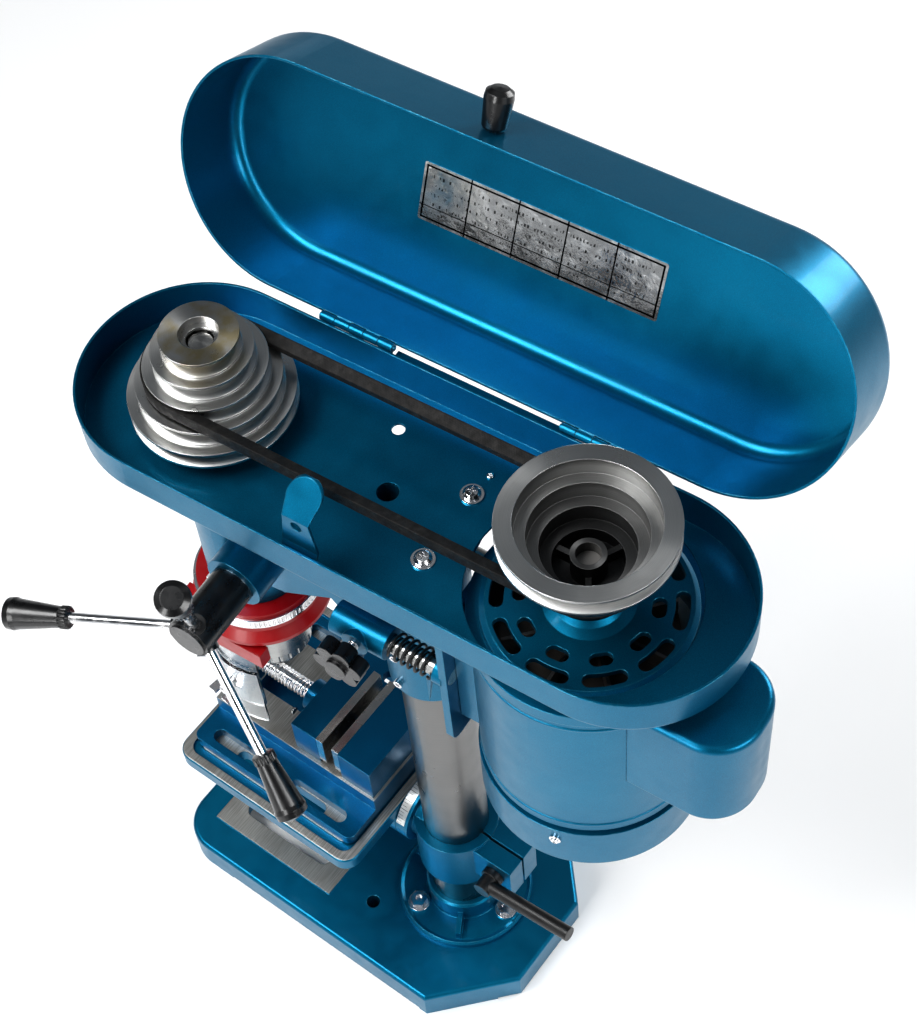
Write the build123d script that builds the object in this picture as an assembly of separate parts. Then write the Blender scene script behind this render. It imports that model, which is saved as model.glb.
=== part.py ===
from build123d import *
from math import cos, pi, radians, sin, tan
import os

# A bench drill press with its belt guard open.  Millimetres, +Z up, the front faces -Y and the
# operator's right is +X.  The origin is midway between the two bench bolt holes, at bench level.
# Stand parts are drawn about the column axis; head parts too, then swung round the column.

# --- driving dimensions: stand ---
COLUMN_Y = 49.0
COLUMN_R = 23.0
COLUMN_FOOT_Z = 28.5
COLUMN_TOP_Z = 470.0
BASE_HALF_WIDTH = 90.0
BASE_FRONT_Y = -212.0
BASE_REAR_Y = 77.0
BASE_TOP_Z = 28.0
BENCH_HOLE_X = 51.0
BENCH_HOLE_R = 5.0
FLANGE_R = 50.0
FLANGE_TOP_Z = 33.0
FLANGE_BOLT_PCR = 37.5

# --- driving dimensions: head ---
HEAD_SWING = 4.3
SPINDLE_Y = -135.0
SPINDLE_R = 8.0
QUILL_R = 22.0
QUILL_BOTTOM_Z = 338.0
QUILL_TOP_Z = 498.0
QUILL_TRAVEL = 50.0
RUN = 0.05
HEAD_TOP_Z = 529.0
NOSE_BOTTOM_Z = 342.0
FEED_Y = -104.0
FEED_Z = 439.0
RACK_MODULE = 1.25
PINION_TEETH = 16
HUB_ROOT_X = 51.0
HUB_END_X = 98.0
ROD_REACH = 131.0
ROD_LEAN = 18.0
ROD_START = 192.6
RAIL_X = 38.0
RAIL_Z = 440.0

# --- driving dimensions: belt guard, pulleys and belt ---
PAN_R = 70.0
PAN_FRONT_Y = -147.0
PAN_REAR_Y = 138.0
RIM_Z = 556.0
PAN_FLOOR_Z = 530.5
SHEET = 1.5
LID_R = 71.5
LID_DEPTH = 52.0
LID_OPEN = 112.0
HINGE_X = -73.6
HINGE_MIDDLES = (-84.0, 78.0)
KNOB_Y = -28.0
KNOB_RISE = 17.0
STEPS = 5
STEP_H = 12.0
BIG_R = 49.0
SMALL_R = 23.0
PULLEY_Z = 542.0
BELT_STEP = 2

# --- driving dimensions: motor ---
MOTOR_Y = 114.0
MOTOR_R = 68.0
SHELL_R = 66.5
MOTOR_BOTTOM_Z = 332.0
MOTOR_CAP_Z = 381.0
MOTOR_TOP_Z = 524.0
SLACKEN = 8.0

# --- driving dimensions: table and vise ---
TABLE_HALF_WIDTH = 79.0
TABLE_FRONT_Y = -194.0
TABLE_REAR_Y = -34.0
TABLE_TOP_Z = 156.0
TILT_Z = 133.0
TILT_R = 28.0
COLLAR_BOTTOM_Z = 95.0
COLLAR_TOP_Z = 147.0
VISE_JAW_Y = -82.0
VISE_SCREW_Z = 196.0


# --- helpers ---
def post(r, z0, z1, x=0.0, y=0.0):
    return Pos(x, y, (z0 + z1) / 2) * Cylinder(r, z1 - z0)


def pipe(r_out, r_in, z0, z1, x=0.0, y=0.0):
    return post(r_out, z0, z1, x, y) - post(r_in, z0 - 1, z1 + 1, x, y)


def bar_x(r, x0, x1, y, z):
    return Pos((x0 + x1) / 2, y, z) * Rot(0, 90, 0) * Cylinder(r, x1 - x0)


def bar_y(r, y0, y1, x, z):
    return Pos(x, (y0 + y1) / 2, z) * Rot(90, 0, 0) * Cylinder(r, y1 - y0)


def block(x0, x1, y0, y1, z0, z1):
    return Pos((x0 + x1) / 2, (y0 + y1) / 2, (z0 + z1) / 2) * Box(x1 - x0, y1 - y0, z1 - z0)


def turned(points, x=0.0, y=0.0):
    """Turn a closed outline of (radius, height) points about the upright line at x, y."""
    face = make_face(Polyline(*[(r, 0, z) for r, z in points], close=True))
    return Pos(x, y, 0) * revolve(face, Axis.Z)


def hexagon(across, height):
    return extrude(RegularPolygon(across / 2, 6, major_radius=False), height)


def upright(shape, axis):
    """The straight edges of a shape that run along one axis."""
    return shape.edges().filter_by(axis)


def common(a, b):
    """The solid that two shapes share."""
    return Part() + solids_of(a & b)


def oblong(r, y0, y1, z0, z1):
    """A plate with round ends: two posts joined by a block."""
    return block(-r, r, y0, y1, z0, z1) + post(r, z0, z1, 0, y0) + post(r, z0, z1, 0, y1)


STAND = Pos(0, COLUMN_Y, 0)
HEAD = Pos(0, COLUMN_Y, 0) * Rot(0, 0, HEAD_SWING)


def solids_of(shape):
    if isinstance(shape, (list, tuple)):
        return [solid for item in shape for solid in solids_of(item)]
    return list(shape.solids())


def save(name, shape, place):
    """Write one node: every solid of the shape, put in its place."""
    solids = [place * solid for solid in solids_of(shape)]
    whole = solids[0] if len(solids) == 1 else Compound(children=solids)
    export_step(whole, f"parts/{name}.step")


# --- stand ---
def base():
    outer = block(-BASE_HALF_WIDTH, BASE_HALF_WIDTH, BASE_FRONT_Y, BASE_REAR_Y, 0, BASE_TOP_Z)
    outer = chamfer(upright(outer, Axis.Z).sort_by(Axis.Y)[2:], 48.0, 53.0)
    outer = fillet(upright(outer, Axis.Z).sort_by(Axis.Y)[:2], 30.0)
    outer = fillet(outer.faces().sort_by(Axis.Z)[-1].edges(), 3.0)
    wall, top = 6.0, 7.5
    hollow = block(
        wall - BASE_HALF_WIDTH, BASE_HALF_WIDTH - wall,
        BASE_FRONT_Y + wall, 16.0, -1, BASE_TOP_Z - top,
    )
    hollow += block(-38, 38, 15.0, BASE_REAR_Y - wall, -1, BASE_TOP_Z - top)
    hollow = fillet(upright(hollow, Axis.Z).sort_by(Axis.Y)[:2], 22.0)
    body = outer - hollow
    body += block(-3, 3, BASE_FRONT_Y + 4, BASE_REAR_Y - 4, 6, BASE_TOP_Z - top + 0.5)
    body += block(4 - BASE_HALF_WIDTH, BASE_HALF_WIDTH - 4, -72, -66, 6, BASE_TOP_Z - top + 0.5)
    # machined pad with a raised border and two through slots
    body += block(-66, 66, -192, -80, BASE_TOP_Z - 1, BASE_TOP_Z + 1.2)
    for x in (-44.0, 44.0):
        body -= oblong(6.5, -176 + 6.5, -96 - 6.5, 0, BASE_TOP_Z + 5).moved(Location((x, 0, 0)))
    body -= block(-24, 24, -180, -92, BASE_TOP_Z - 2.5, BASE_TOP_Z + 5)
    for x in (-BENCH_HOLE_X, BENCH_HOLE_X):
        body += post(11, 0.6, BASE_TOP_Z - top + 0.5, x, -COLUMN_Y)
        body -= post(BENCH_HOLE_R, -1, BASE_TOP_Z + 2, x, -COLUMN_Y)
    for x, y in bolt_places():
        body += post(8, 8, BASE_TOP_Z - top + 0.5, x, y)
        body -= post(3.4, -1, BASE_TOP_Z + 2, x, y)
    # relief between the foot lands, so that the base stands on its corners
    body -= block(-100, 100, -160, 22, -1, 2.0)
    body -= block(-50, 50, BASE_FRONT_Y - 2, BASE_REAR_Y + 2, -1, 2.0)
    for x in (-BENCH_HOLE_X, BENCH_HOLE_X):
        body += pipe(11, BENCH_HOLE_R, 0, 3, x, -COLUMN_Y)
    return body


def bolt_places():
    angles = [radians(a) for a in (-30, 90, 210)]
    return [(FLANGE_BOLT_PCR * cos(a), FLANGE_BOLT_PCR * sin(a)) for a in angles]


def column_flange():
    body = turned([
        (0, 28), (FLANGE_R, 28), (FLANGE_R, FLANGE_TOP_Z - 1), (FLANGE_R - 1.5, FLANGE_TOP_Z + 1),
        (FLANGE_R - 4, FLANGE_TOP_Z), (29, FLANGE_TOP_Z), (28.2, FLANGE_TOP_Z + 1.5),
        (28, 50), (26.5, 51.5), (0, 51.5),
    ])
    for a in (30, 150, 270):
        body += Rot(0, 0, a) * Pos(36, 0, 37) * Box(18, 4, 10)
    body -= post(COLUMN_R, 28.5, 60)
    for x, y in bolt_places():
        body -= post(4.2, 27, 40, x, y)
    return body


def bolt(r, across, head_h, z_seat, z_end):
    """An upright hex bolt on a washer, its head above z_seat."""
    washer = pipe(across * 0.7, r + 0.3, z_seat, z_seat + 1.5)
    head = Pos(0, 0, z_seat + 1.5) * hexagon(across, head_h)
    head -= post(across * 0.22, z_seat + 1.5 + head_h * 0.5, z_seat + 10 + head_h)
    return [head + post(r, z_end, z_seat + 2), washer]


def flange_bolts():
    solids = []
    for x, y in bolt_places():
        solids += [Pos(x, y, 0) * s for s in bolt(3.4, 11.5, 5.5, FLANGE_TOP_Z, 10)]
    return solids


# --- head ---
COLUMN_SCREW_Y = -6.0
COLUMN_SCREWS_Z = (373.0, 404.0)
PAN_SCREWS = ((-24.0, 24.0), (26.0, 24.0))
CORE_HOLE = (-2.0, -18.0)
CORE_HOLE_R = 6.5


def head_casting():
    body = post(31, NOSE_BOTTOM_Z + 30, HEAD_TOP_Z, 0, SPINDLE_Y)
    body += post(30, NOSE_BOTTOM_Z, NOSE_BOTTOM_Z + 31, 0, SPINDLE_Y)
    body += post(28.8, 362, HEAD_TOP_Z)
    profile = Polyline(
        (-120, 400), (-90, 404), (-52, 428), (-24, 392), (0, 384), (0, 529), (-120, 529), close=True,
    )
    web = extrude(Plane.YZ * make_face(profile), 25, both=True)
    body += web
    body += oblong(33, SPINDLE_Y + 1, 8, HEAD_TOP_Z - 10, HEAD_TOP_Z)
    body += bar_x(19, -40, HUB_ROOT_X, FEED_Y, FEED_Z)
    for x in (-RAIL_X, RAIL_X):
        body += bar_y(11, -36, 2, x, RAIL_Z)
        body += block(min(x, 0), max(x, 0), -34, 0, RAIL_Z - 9, RAIL_Z + 9)
    body += bar_x(9, 30, 50, -17, RAIL_Z)
    body += bar_x(7, 20, 37, -124, 418)
    fin = Polyline((14, 366), (14, 500), (30, 500), close=True)
    body += Pos(24, 0, 0) * extrude(Plane.YZ * make_face(fin), 2.5, both=True)
    # bores
    body -= post(COLUMN_R, 350, COLUMN_TOP_Z)
    body -= post(QUILL_R + RUN, NOSE_BOTTOM_Z - 1, QUILL_TOP_Z + 3, 0, SPINDLE_Y)
    body -= post(14, QUILL_TOP_Z, HEAD_TOP_Z + 1, 0, SPINDLE_Y)
    body -= post(21, QUILL_TOP_Z + 7, HEAD_TOP_Z + 1, 0, SPINDLE_Y)
    body -= bar_x(12.5, -20, HUB_ROOT_X + 1, FEED_Y, FEED_Z)
    body -= bar_x(6 + RUN, -41, 0, FEED_Y, FEED_Z)
    for x in (-RAIL_X, RAIL_X):
        body -= bar_y(6 + RUN, -37, 3, x, RAIL_Z)
    body -= bar_x(3 + RUN, RAIL_X, 51, -17, RAIL_Z)
    body -= bar_x(4, 22, 38, -124, 418)
    for z in COLUMN_SCREWS_Z:
        body -= bar_x(3, COLUMN_R - 4, 36, COLUMN_SCREW_Y, z)
    for x, y in PAN_SCREWS:
        body -= post(2.4, HEAD_TOP_Z - 11, HEAD_TOP_Z + 1, x, y)
    x, y = CORE_HOLE
    return body - post(CORE_HOLE_R, 480, HEAD_TOP_Z + 1, x, y)


def head_screws():
    """The quill guide bolt with its lock nut, and the two set screws that grip the column."""
    turn = Rot(0, 90, 0)
    guide = Pos(43, -124, 418) * turn * hexagon(12, 5) + bar_x(4, 23, 44, -124, 418)
    nut = Pos(37.2, -124, 418) * turn * (hexagon(13, 5) - post(4, -1, 6))
    y = COLUMN_SCREW_Y
    screws = [bar_x(3, COLUMN_R + 0.1, 31, y, z) - bar_x(1.5, 29, 32, y, z) for z in COLUMN_SCREWS_Z]
    return [guide, nut] + screws


def sleeve_bearings():
    solids = []
    for z in (QUILL_TOP_Z + 7.5, HEAD_TOP_Z - 11.5):
        solids.append(turned([
            (11.65, z), (14.4, z), (14.9, z + 1), (17.6, z + 1), (18.1, z), (21, z),
            (21, z + 11), (18.1, z + 11), (17.6, z + 10), (14.9, z + 10), (14.4, z + 11), (11.65, z + 11),
        ], 0, SPINDLE_Y))
    return solids


def rack(y_pitch):
    """Straight rack teeth across the back of the quill, as solids to cut from it."""
    pitch = pi * RACK_MODULE
    gaps = []
    count = int((QUILL_TOP_Z - 4 - (FEED_Z - 6)) / pitch)
    for i in range(-2, count):
        z = FEED_Z + (i + 0.5) * pitch
        gap = Polyline(
            (y_pitch - 1.75, z - 0.62), (y_pitch + 2.2, z - 1.75),
            (y_pitch + 2.2, z + 1.75), (y_pitch - 1.75, z + 0.62), close=True,
        )
        gaps.append(extrude(Plane.YZ * make_face(gap), 9, both=True))
    return gaps


def quill():
    body = pipe(QUILL_R, 14, QUILL_BOTTOM_Z, QUILL_TOP_Z, 0, SPINDLE_Y)
    for gap in rack(FEED_Y - PINION_TEETH * RACK_MODULE / 2):
        body -= gap
    # the slot that the guide bolt runs in
    body -= block(19, 24, -124 - 4.3, -124 + 4.3, 418 - 5, 418 + QUILL_TRAVEL + 5)
    return body


def quill_bearings():
    return [
        pipe(14, SPINDLE_R + RUN, z, z + 10, 0, SPINDLE_Y)
        for z in (QUILL_BOTTOM_Z + 1, QUILL_TOP_Z - 12)
    ]


def spindle():
    z = QUILL_BOTTOM_Z
    body = turned([
        (0, z - 28), (7, z - 28), (7.8, z - 9.5), (13, z - 9.5), (13, z - 0.5), (SPINDLE_R, z - 0.5),
        (SPINDLE_R, 592), (7, 594), (0, 594),
    ], 0, SPINDLE_Y)
    for a in range(0, 360, 60):
        key = Pos(0, SPINDLE_Y, 0) * Rot(0, 0, a) * block(6.8, 9, -1, 1, 515, 600)
        body -= key
    return body


JAW_LEAN = 15.0
JAW_TIP_Z = 264.0
JAW_TIP_R = 3.6
CHUCK_TOP_Z = 328.0


def jaw_axis(a):
    """Places a jaw's own axis: it leans out from the chuck's axis as it rises."""
    return Pos(0, SPINDLE_Y, JAW_TIP_Z) * Rot(0, 0, a) * Pos(JAW_TIP_R, 0, 0) * Rot(0, JAW_LEAN, 0)


def chuck_body():
    body = turned([
        (0, 270), (17, 270), (20.8, 282), (20.8, 313), (24.6, 313), (24.6, 326.5),
        (23, CHUCK_TOP_Z), (0, CHUCK_TOP_Z),
    ], 0, SPINDLE_Y)
    body -= turned([(0, 300), (7.0, 310), (7.8, 328.5), (7.8, 329), (0, 329)], 0, SPINDLE_Y)
    body -= post(7, 260, 301, 0, SPINDLE_Y)
    for a in (30, 150, 270):
        body -= jaw_axis(a) * post(4 + RUN, -12, 46)
        body -= Pos(0, SPINDLE_Y, 320) * Rot(0, 0, a + 10) * bar_x(2.6, 17, 26, 0, 0)
    return body


def chuck_sleeve():
    body = turned([
        (21.0, 283), (24, 283), (25, 284.5), (25, 311.5), (24.4, 312.4), (21.0, 312.4),
    ], 0, SPINDLE_Y)
    for i in range(24):
        body -= Pos(0, SPINDLE_Y, 0) * Rot(0, 0, 15 * i) * post(1.1, 282, 291, 25.3, 0)
    return body


def chuck_jaw(a):
    body = jaw_axis(a) * post(4.0, 0, 27)
    reach = 38.4 / tan(radians(30))
    sector = Polyline((1.6, 0), (40, reach), (40, -reach), close=True)
    wedge = extrude(make_face(sector), 60)
    body = common(body, Pos(0, SPINDLE_Y, JAW_TIP_Z - 1) * Rot(0, 0, a) * wedge)
    return common(body, block(-60, 60, SPINDLE_Y - 60, SPINDLE_Y + 60, JAW_TIP_Z, JAW_TIP_Z + 60))


# --- feed ---
def feed_shaft():
    body = bar_x(6, -58, -12, FEED_Y, FEED_Z)
    body += bar_x(7.5, -12, 20, FEED_Y, FEED_Z)
    body += bar_x(12.45, 18, HUB_ROOT_X + 10, FEED_Y, FEED_Z)
    # pinion: tapered teeth about the shaft, one of them pointing square at the rack
    pitch_r = PINION_TEETH * RACK_MODULE / 2
    body += bar_x(pitch_r - 1.7, -10, 10, FEED_Y, FEED_Z)
    for i in range(PINION_TEETH):
        tooth = Polyline(
            (pitch_r - 2.4, -1.35), (pitch_r, -0.8), (pitch_r + 1.1, -0.35),
            (pitch_r + 1.1, 0.35), (pitch_r, 0.8), (pitch_r - 2.4, 1.35), close=True,
        )
        tooth = extrude(Plane.YZ * make_face(tooth), 9, both=True)
        body += Pos(0, FEED_Y, FEED_Z) * Rot(180 + 360 / PINION_TEETH * (i + 0.5), 0, 0) * tooth
    return body


def feed_hub():
    body = bar_x(14, HUB_ROOT_X + 1, HUB_END_X - 1.5, FEED_Y, FEED_Z)
    body -= bar_x(12.45, HUB_ROOT_X, HUB_ROOT_X + 10, FEED_Y, FEED_Z)
    for rod in rod_frames():
        body += rod * post(6.5, 4, 15.5)
        body -= rod * post(3.5, 8, 20)
    cap = bar_x(12.2, HUB_END_X - 1.5, HUB_END_X, FEED_Y, FEED_Z)
    return [body, cap]


def rod_frames():
    """A frame for each feed rod, with +Z along the rod and its start on the hub's axis."""
    frames = []
    for i in range(3):
        a = ROD_START - 120 * i
        turn = Rot(a, 0, 0) * Rot(-90, 0, 0) * Rot(0, ROD_LEAN, 0)
        frames.append(Pos(HUB_END_X - 11, FEED_Y, FEED_Z) * turn)
    return frames


def feed_rods():
    return [rod * post(3.5, 8, ROD_REACH - 34) for rod in rod_frames()]


def feed_knobs():
    outline = [
        (3.5, ROD_REACH - 42), (5.6, ROD_REACH - 42), (6.4, ROD_REACH - 40), (9.6, ROD_REACH - 9),
        (10.4, ROD_REACH - 6), (10.0, ROD_REACH - 2), (6.5, ROD_REACH), (0, ROD_REACH),
        (0, ROD_REACH - 34), (3.5, ROD_REACH - 34),
    ]
    return [rod * turned(outline) for rod in rod_frames()]


def spring_cap():
    body = bar_x(24, -57, -40, FEED_Y, FEED_Z) - bar_x(22, -55, -39, FEED_Y, FEED_Z)
    return body - bar_x(6.4, -60, -50, FEED_Y, FEED_Z)


def return_spring():
    """A flat spiral spring: a ribbon whose radius grows evenly with the angle."""
    turns, r0, gap, steps, half = 5, 8.5, 2.4, 16, 0.35
    inner, outer = [], []
    for i in range(turns * steps + 1):
        a = 2 * pi * i / steps
        r = r0 + gap * i / steps
        inner.append(((r - half) * cos(a), (r - half) * sin(a)))
        outer.append(((r + half) * cos(a), (r + half) * sin(a)))
    face = make_face(Polyline(*(outer + inner[::-1]), close=True))
    return Pos(-52, FEED_Y, FEED_Z) * Rot(0, 90, 0) * extrude(face, 10)


# --- belt guard ---
def belt_guard_pan():
    z0, z1 = PAN_FLOOR_Z - SHEET, RIM_Z
    body = oblong(PAN_R, PAN_FRONT_Y, PAN_REAR_Y, z0, z1)
    body -= oblong(PAN_R - SHEET, PAN_FRONT_Y, PAN_REAR_Y, PAN_FLOOR_Z, z1 + 1)
    body = fillet(body.faces().sort_by(Axis.Z)[0].outer_wire().edges(), 4.0)
    body -= post(28, z0 - 1, PAN_FLOOR_Z + 1, 0, SPINDLE_Y)
    body -= oblong(62, MOTOR_Y - SLACKEN, MOTOR_Y, z0 - 1, PAN_FLOOR_Z + 1)
    body -= post(CORE_HOLE_R, z0 - 1, PAN_FLOOR_Z + 1, *CORE_HOLE)
    body -= post(4.0, z0 - 1, PAN_FLOOR_Z + 1, -41.5, -37)
    for x, y in PAN_SCREWS:
        body -= post(2.5, z0 - 1, PAN_FLOOR_Z + 1, x, y)
    # a folded lip stiffens the wall between the hinges
    return body + block(-76.5, SHEET / 2 - PAN_R, -58, 52, RIM_Z - 6.5, RIM_Z - 5)


def pan_screws():
    solids = []
    for x, y in PAN_SCREWS:
        washer = pipe(7, 2.6, PAN_FLOOR_Z, PAN_FLOOR_Z + 1.2, x, y)
        head = turned([
            (0, PAN_FLOOR_Z - 12), (2.4, PAN_FLOOR_Z - 12), (2.4, PAN_FLOOR_Z + 1.2),
            (5.2, PAN_FLOOR_Z + 1.2), (5.2, PAN_FLOOR_Z + 2.4), (3.6, PAN_FLOOR_Z + 4),
            (0, PAN_FLOOR_Z + 4.4),
        ], x, y)
        for a in (20, 110):
            head -= Pos(x, y, PAN_FLOOR_Z + 4) * Rot(0, 0, a) * Box(5, 1, 2.4)
        solids += [head, washer]
    return solids


def knuckles(spans, y_mid):
    solids = None
    for y0, y1 in spans:
        ring = bar_y(3, y_mid + y0, y_mid + y1, HINGE_X, RIM_Z)
        solids = ring if solids is None else solids + ring
    return solids


PAN_KNUCKLES = ((-25, -15.3), (-4.7, 4.7), (15.3, 25))
LID_KNUCKLES = ((-15, -5), (5, 15))


def pan_hinges():
    """The pan's half of each hinge, welded to its wall, and the pins."""
    solids = []
    for y in HINGE_MIDDLES:
        leaf = knuckles(PAN_KNUCKLES, y)
        leaf += block(-71.6, -70, y - 25, y + 25, RIM_Z - 18, RIM_Z - 3.4)
        for y0, y1 in PAN_KNUCKLES:
            leaf += block(HINGE_X + 1.2, -70.0, y + y0, y + y1, RIM_Z - 4.4, RIM_Z - 2.2)
        leaf -= bar_y(1.5, y - 30, y + 30, HINGE_X, RIM_Z)
        solids += [leaf, bar_y(1.5, y - 26, y + 26, HINGE_X, RIM_Z)]
    return solids


def lid_shape():
    """The lid where it lies when shut: a deep round-ended cover with a hinge half on its wall."""
    z0, z1 = RIM_Z + 0.6, RIM_Z + LID_DEPTH
    body = oblong(LID_R, PAN_FRONT_Y, PAN_REAR_Y, z0, z1)
    body = fillet(body.faces().sort_by(Axis.Z)[-1].outer_wire().edges(), 9.0)
    hollow = oblong(LID_R - SHEET, PAN_FRONT_Y, PAN_REAR_Y, z0 - 1, z1 - SHEET)
    hollow = fillet(hollow.faces().sort_by(Axis.Z)[-1].outer_wire().edges(), 7.5)
    body -= hollow
    for y in HINGE_MIDDLES:
        leaf = knuckles(LID_KNUCKLES, y)
        leaf += block(-73.1, -71.5, y - 25, y + 25, RIM_Z + 3.4, RIM_Z + 18)
        for y0, y1 in LID_KNUCKLES:
            leaf += block(HINGE_X + 1.2, -71.5, y + y0, y + y1, RIM_Z + 1.8, RIM_Z + 4.4)
        leaf -= bar_y(1.5 + RUN, y - 30, y + 30, HINGE_X, RIM_Z)
        body += leaf
        for y0, y1 in PAN_KNUCKLES:
            body -= bar_y(3.4, y + y0 - 0.3, y + y1 + 0.3, HINGE_X, RIM_Z)
    body -= bar_x(3.3, LID_R - 3, LID_R + 1, KNOB_Y, RIM_Z + KNOB_RISE)
    return body


def opened(shape):
    """Turn a shut lid piece about the hinge pin to the open rest position."""
    pin = Pos(HINGE_X, 0, RIM_Z)
    return pin * Rot(0, -LID_OPEN, 0) * Pos(-HINGE_X, 0, -RIM_Z) * shape


def lid_knob():
    z = RIM_Z + KNOB_RISE
    outline = [
        (0, -3.5), (2.4, -3.5), (3.0, -3.0), (3.0, 1.6), (6.6, 1.6), (7.2, 3), (8.4, 19), (7.8, 22.6),
        (5.0, 24.6), (0, 25),
    ]
    body = Rot(0, 90, 0) * turned(outline)
    return Pos(LID_R, KNOB_Y, z) * body


def latch_tab():
    """A sprung strip inside the pan wall: it stands off the wall and its round tongue bends inwards."""
    x = PAN_R - SHEET
    profile = Polyline(
        (x, PAN_FLOOR_Z + 6), (x, RIM_Z - 8), (x - 4, RIM_Z - 1), (x - 4, RIM_Z + 23),
        (x - 23, RIM_Z + 40), (x - 24, RIM_Z + 38.8), (x - 5.6, RIM_Z + 22.3), (x - 5.6, RIM_Z - 1.6),
        (x - 1.6, RIM_Z - 8.5), (x - 1.6, PAN_FLOOR_Z + 6), close=True,
    )
    strip = extrude(Plane.XZ * make_face(profile), 12, both=True)
    half = 11.5
    waisted = make_face(Polyline(
        (-half, PAN_FLOOR_Z), (half, PAN_FLOOR_Z), (half, RIM_Z), (8.4, RIM_Z + 22), (10.8, RIM_Z + 32),
        (-10.8, RIM_Z + 32), (-8.4, RIM_Z + 22), (-half, RIM_Z), close=True,
    ))
    waisted += Pos(0, RIM_Z + 32) * Ellipse(10.8, 7.4)
    strip = common(strip, extrude(Plane.YZ * waisted, 100, both=True))
    hole = bar_x(3.6, x - 9, x, 0, RIM_Z + KNOB_RISE)
    return Pos(0, KNOB_Y, 0) * (strip - hole)


# --- pulleys, belt and motor ---
def step_radii(rising):
    radii = [BIG_R + (SMALL_R - BIG_R) * i / (STEPS - 1) for i in range(STEPS)]
    return radii if rising else radii[::-1]


def cone_outline(radii, z0):
    """The outside of a stepped pulley: one V groove to each step."""
    points = []
    depth, lip = 6.2, 1.6
    for i, r in enumerate(radii):
        z = z0 + STEP_H * i
        points += [(r, z), (r, z + lip), (r - depth, z + lip + 2.2)]
        points += [(r - depth, z + STEP_H - lip - 2.2), (r, z + STEP_H - lip), (r, z + STEP_H)]
    return points


SLEEVE_TOP_Z = 597.0


def spindle_pulley():
    z0 = PULLEY_Z
    z1 = z0 + STEPS * STEP_H
    points = cone_outline(step_radii(True), z0)
    body = turned([(0, z0)] + points + [(0, z1)], 0, SPINDLE_Y)
    body -= post(11.6, z0 - 1, z1 + 1, 0, SPINDLE_Y)
    body -= turned([(14, z0 - 1), (38, z0 - 1), (36, z0 + 7), (16, z0 + 7)], 0, SPINDLE_Y)
    return body - bar_x(1.8, 8, 30, SPINDLE_Y, z1 - 6)


def pulley_sleeve():
    z0 = QUILL_TOP_Z + 6
    body = pipe(11.6, SPINDLE_R + RUN, z0, SLEEVE_TOP_Z, 0, SPINDLE_Y)
    return body + pipe(13.5, 11.5, HEAD_TOP_Z + 1, PULLEY_Z, 0, SPINDLE_Y)


def motor_pulley():
    z0 = PULLEY_Z
    z1 = z0 + STEPS * STEP_H
    points = cone_outline(step_radii(False), z0)
    body = turned([(0, z0)] + points + [(0, z1)], 0, MOTOR_Y)
    # the inside steps down with the grooves to a low hub
    bore = [(0, z1 + 1), (39, z1 + 1)]
    for i, r in enumerate((39, 32.5, 26)):
        z = z1 - STEP_H * (i + 1)
        bore += [(r, z), (r - 6.5, z)]
    bore += [(19.5, z0 + 14), (0, z0 + 14)]
    body -= turned(bore, 0, MOTOR_Y)
    body += post(10, z0, z1 - 30, 0, MOTOR_Y)
    for a in (30, 150, 270):
        body += Pos(0, MOTOR_Y, 0) * Rot(0, 0, a) * block(8, 19.8, -1.6, 1.6, z0 + 13, z1 - 38)
    return body - post(7, z0 - 1, z1, 0, MOTOR_Y)


def v_belt():
    """A V belt round the middle groove of both pulleys: two straight runs and two half turns."""
    z = PULLEY_Z + STEP_H * (BELT_STEP + 0.5)
    r_mid = (BIG_R + SMALL_R) / 2
    out, inn = r_mid + 1.2, r_mid - 5.6
    y0, y1 = SPINDLE_Y, MOTOR_Y
    section = [
        (inn, z - 2.1), (out - 0.6, z - 4.3), (out, z - 4.3), (out, z + 4.3), (out - 0.6, z + 4.3),
        (inn, z + 2.1),
    ]
    belt = common(turned(section, 0, y0), block(-90, 90, y0 - 90, y0, z - 9, z + 9))
    belt += common(turned(section, 0, y1), block(-90, 90, y1, y1 + 90, z - 9, z + 9))
    for side in (-1, 1):
        face = make_face(Polyline(*[(side * r, 0, h) for r, h in section], close=True))
        run = Pos(0, y0, 0) * extrude(face, y1 - y0, dir=(0, 1, 0))
        belt += run
    return belt


def motor_shell():
    body = pipe(SHELL_R, MOTOR_R - 3, MOTOR_CAP_Z, MOTOR_TOP_Z - 16, 0, MOTOR_Y)
    pad = block(-36, 36, 45.2, MOTOR_Y - 50, 392, 488) - post(SHELL_R - 0.7, 380, 500, 0, MOTOR_Y)
    return body + pad


def motor_base_cap():
    z = MOTOR_BOTTOM_Z
    body = turned([
        (0, z), (MOTOR_R - 8, z), (MOTOR_R, z + 8), (MOTOR_R, MOTOR_CAP_Z - 4),
        (MOTOR_R - 3.5, MOTOR_CAP_Z - 4), (MOTOR_R - 3.5, MOTOR_CAP_Z), (MOTOR_R - 6, MOTOR_CAP_Z),
        (MOTOR_R - 6, z + 10), (MOTOR_R - 10, z + 5), (0, z + 5),
    ], 0, MOTOR_Y)
    return body + pipe(20, 16, z + 4, z + 20, 0, MOTOR_Y)


def motor_end_bell():
    z = MOTOR_TOP_Z
    body = turned([
        (7.6, z + 8), (16, z + 8), (20, z + 5), (26, z + 3), (57, z + 3), (60, z), (60, z - 6),
        (MOTOR_R, z - 7), (MOTOR_R, z - 16), (MOTOR_R - 4, z - 16), (57, z - 9), (56, z - 1),
        (26, z - 1), (20, z - 2), (20, z - 14), (16, z - 14), (16, z + 1), (7.6, z + 1),
    ], 0, MOTOR_Y)
    for i in range(10):
        turn = Pos(0, MOTOR_Y, 0) * Rot(0, 0, 36 * i + 4)
        body -= turn * arc_slot(50.5, 4, 9.5, z)
        body -= turn * slot_cut(38, 13, 8, z)
    return body


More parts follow.
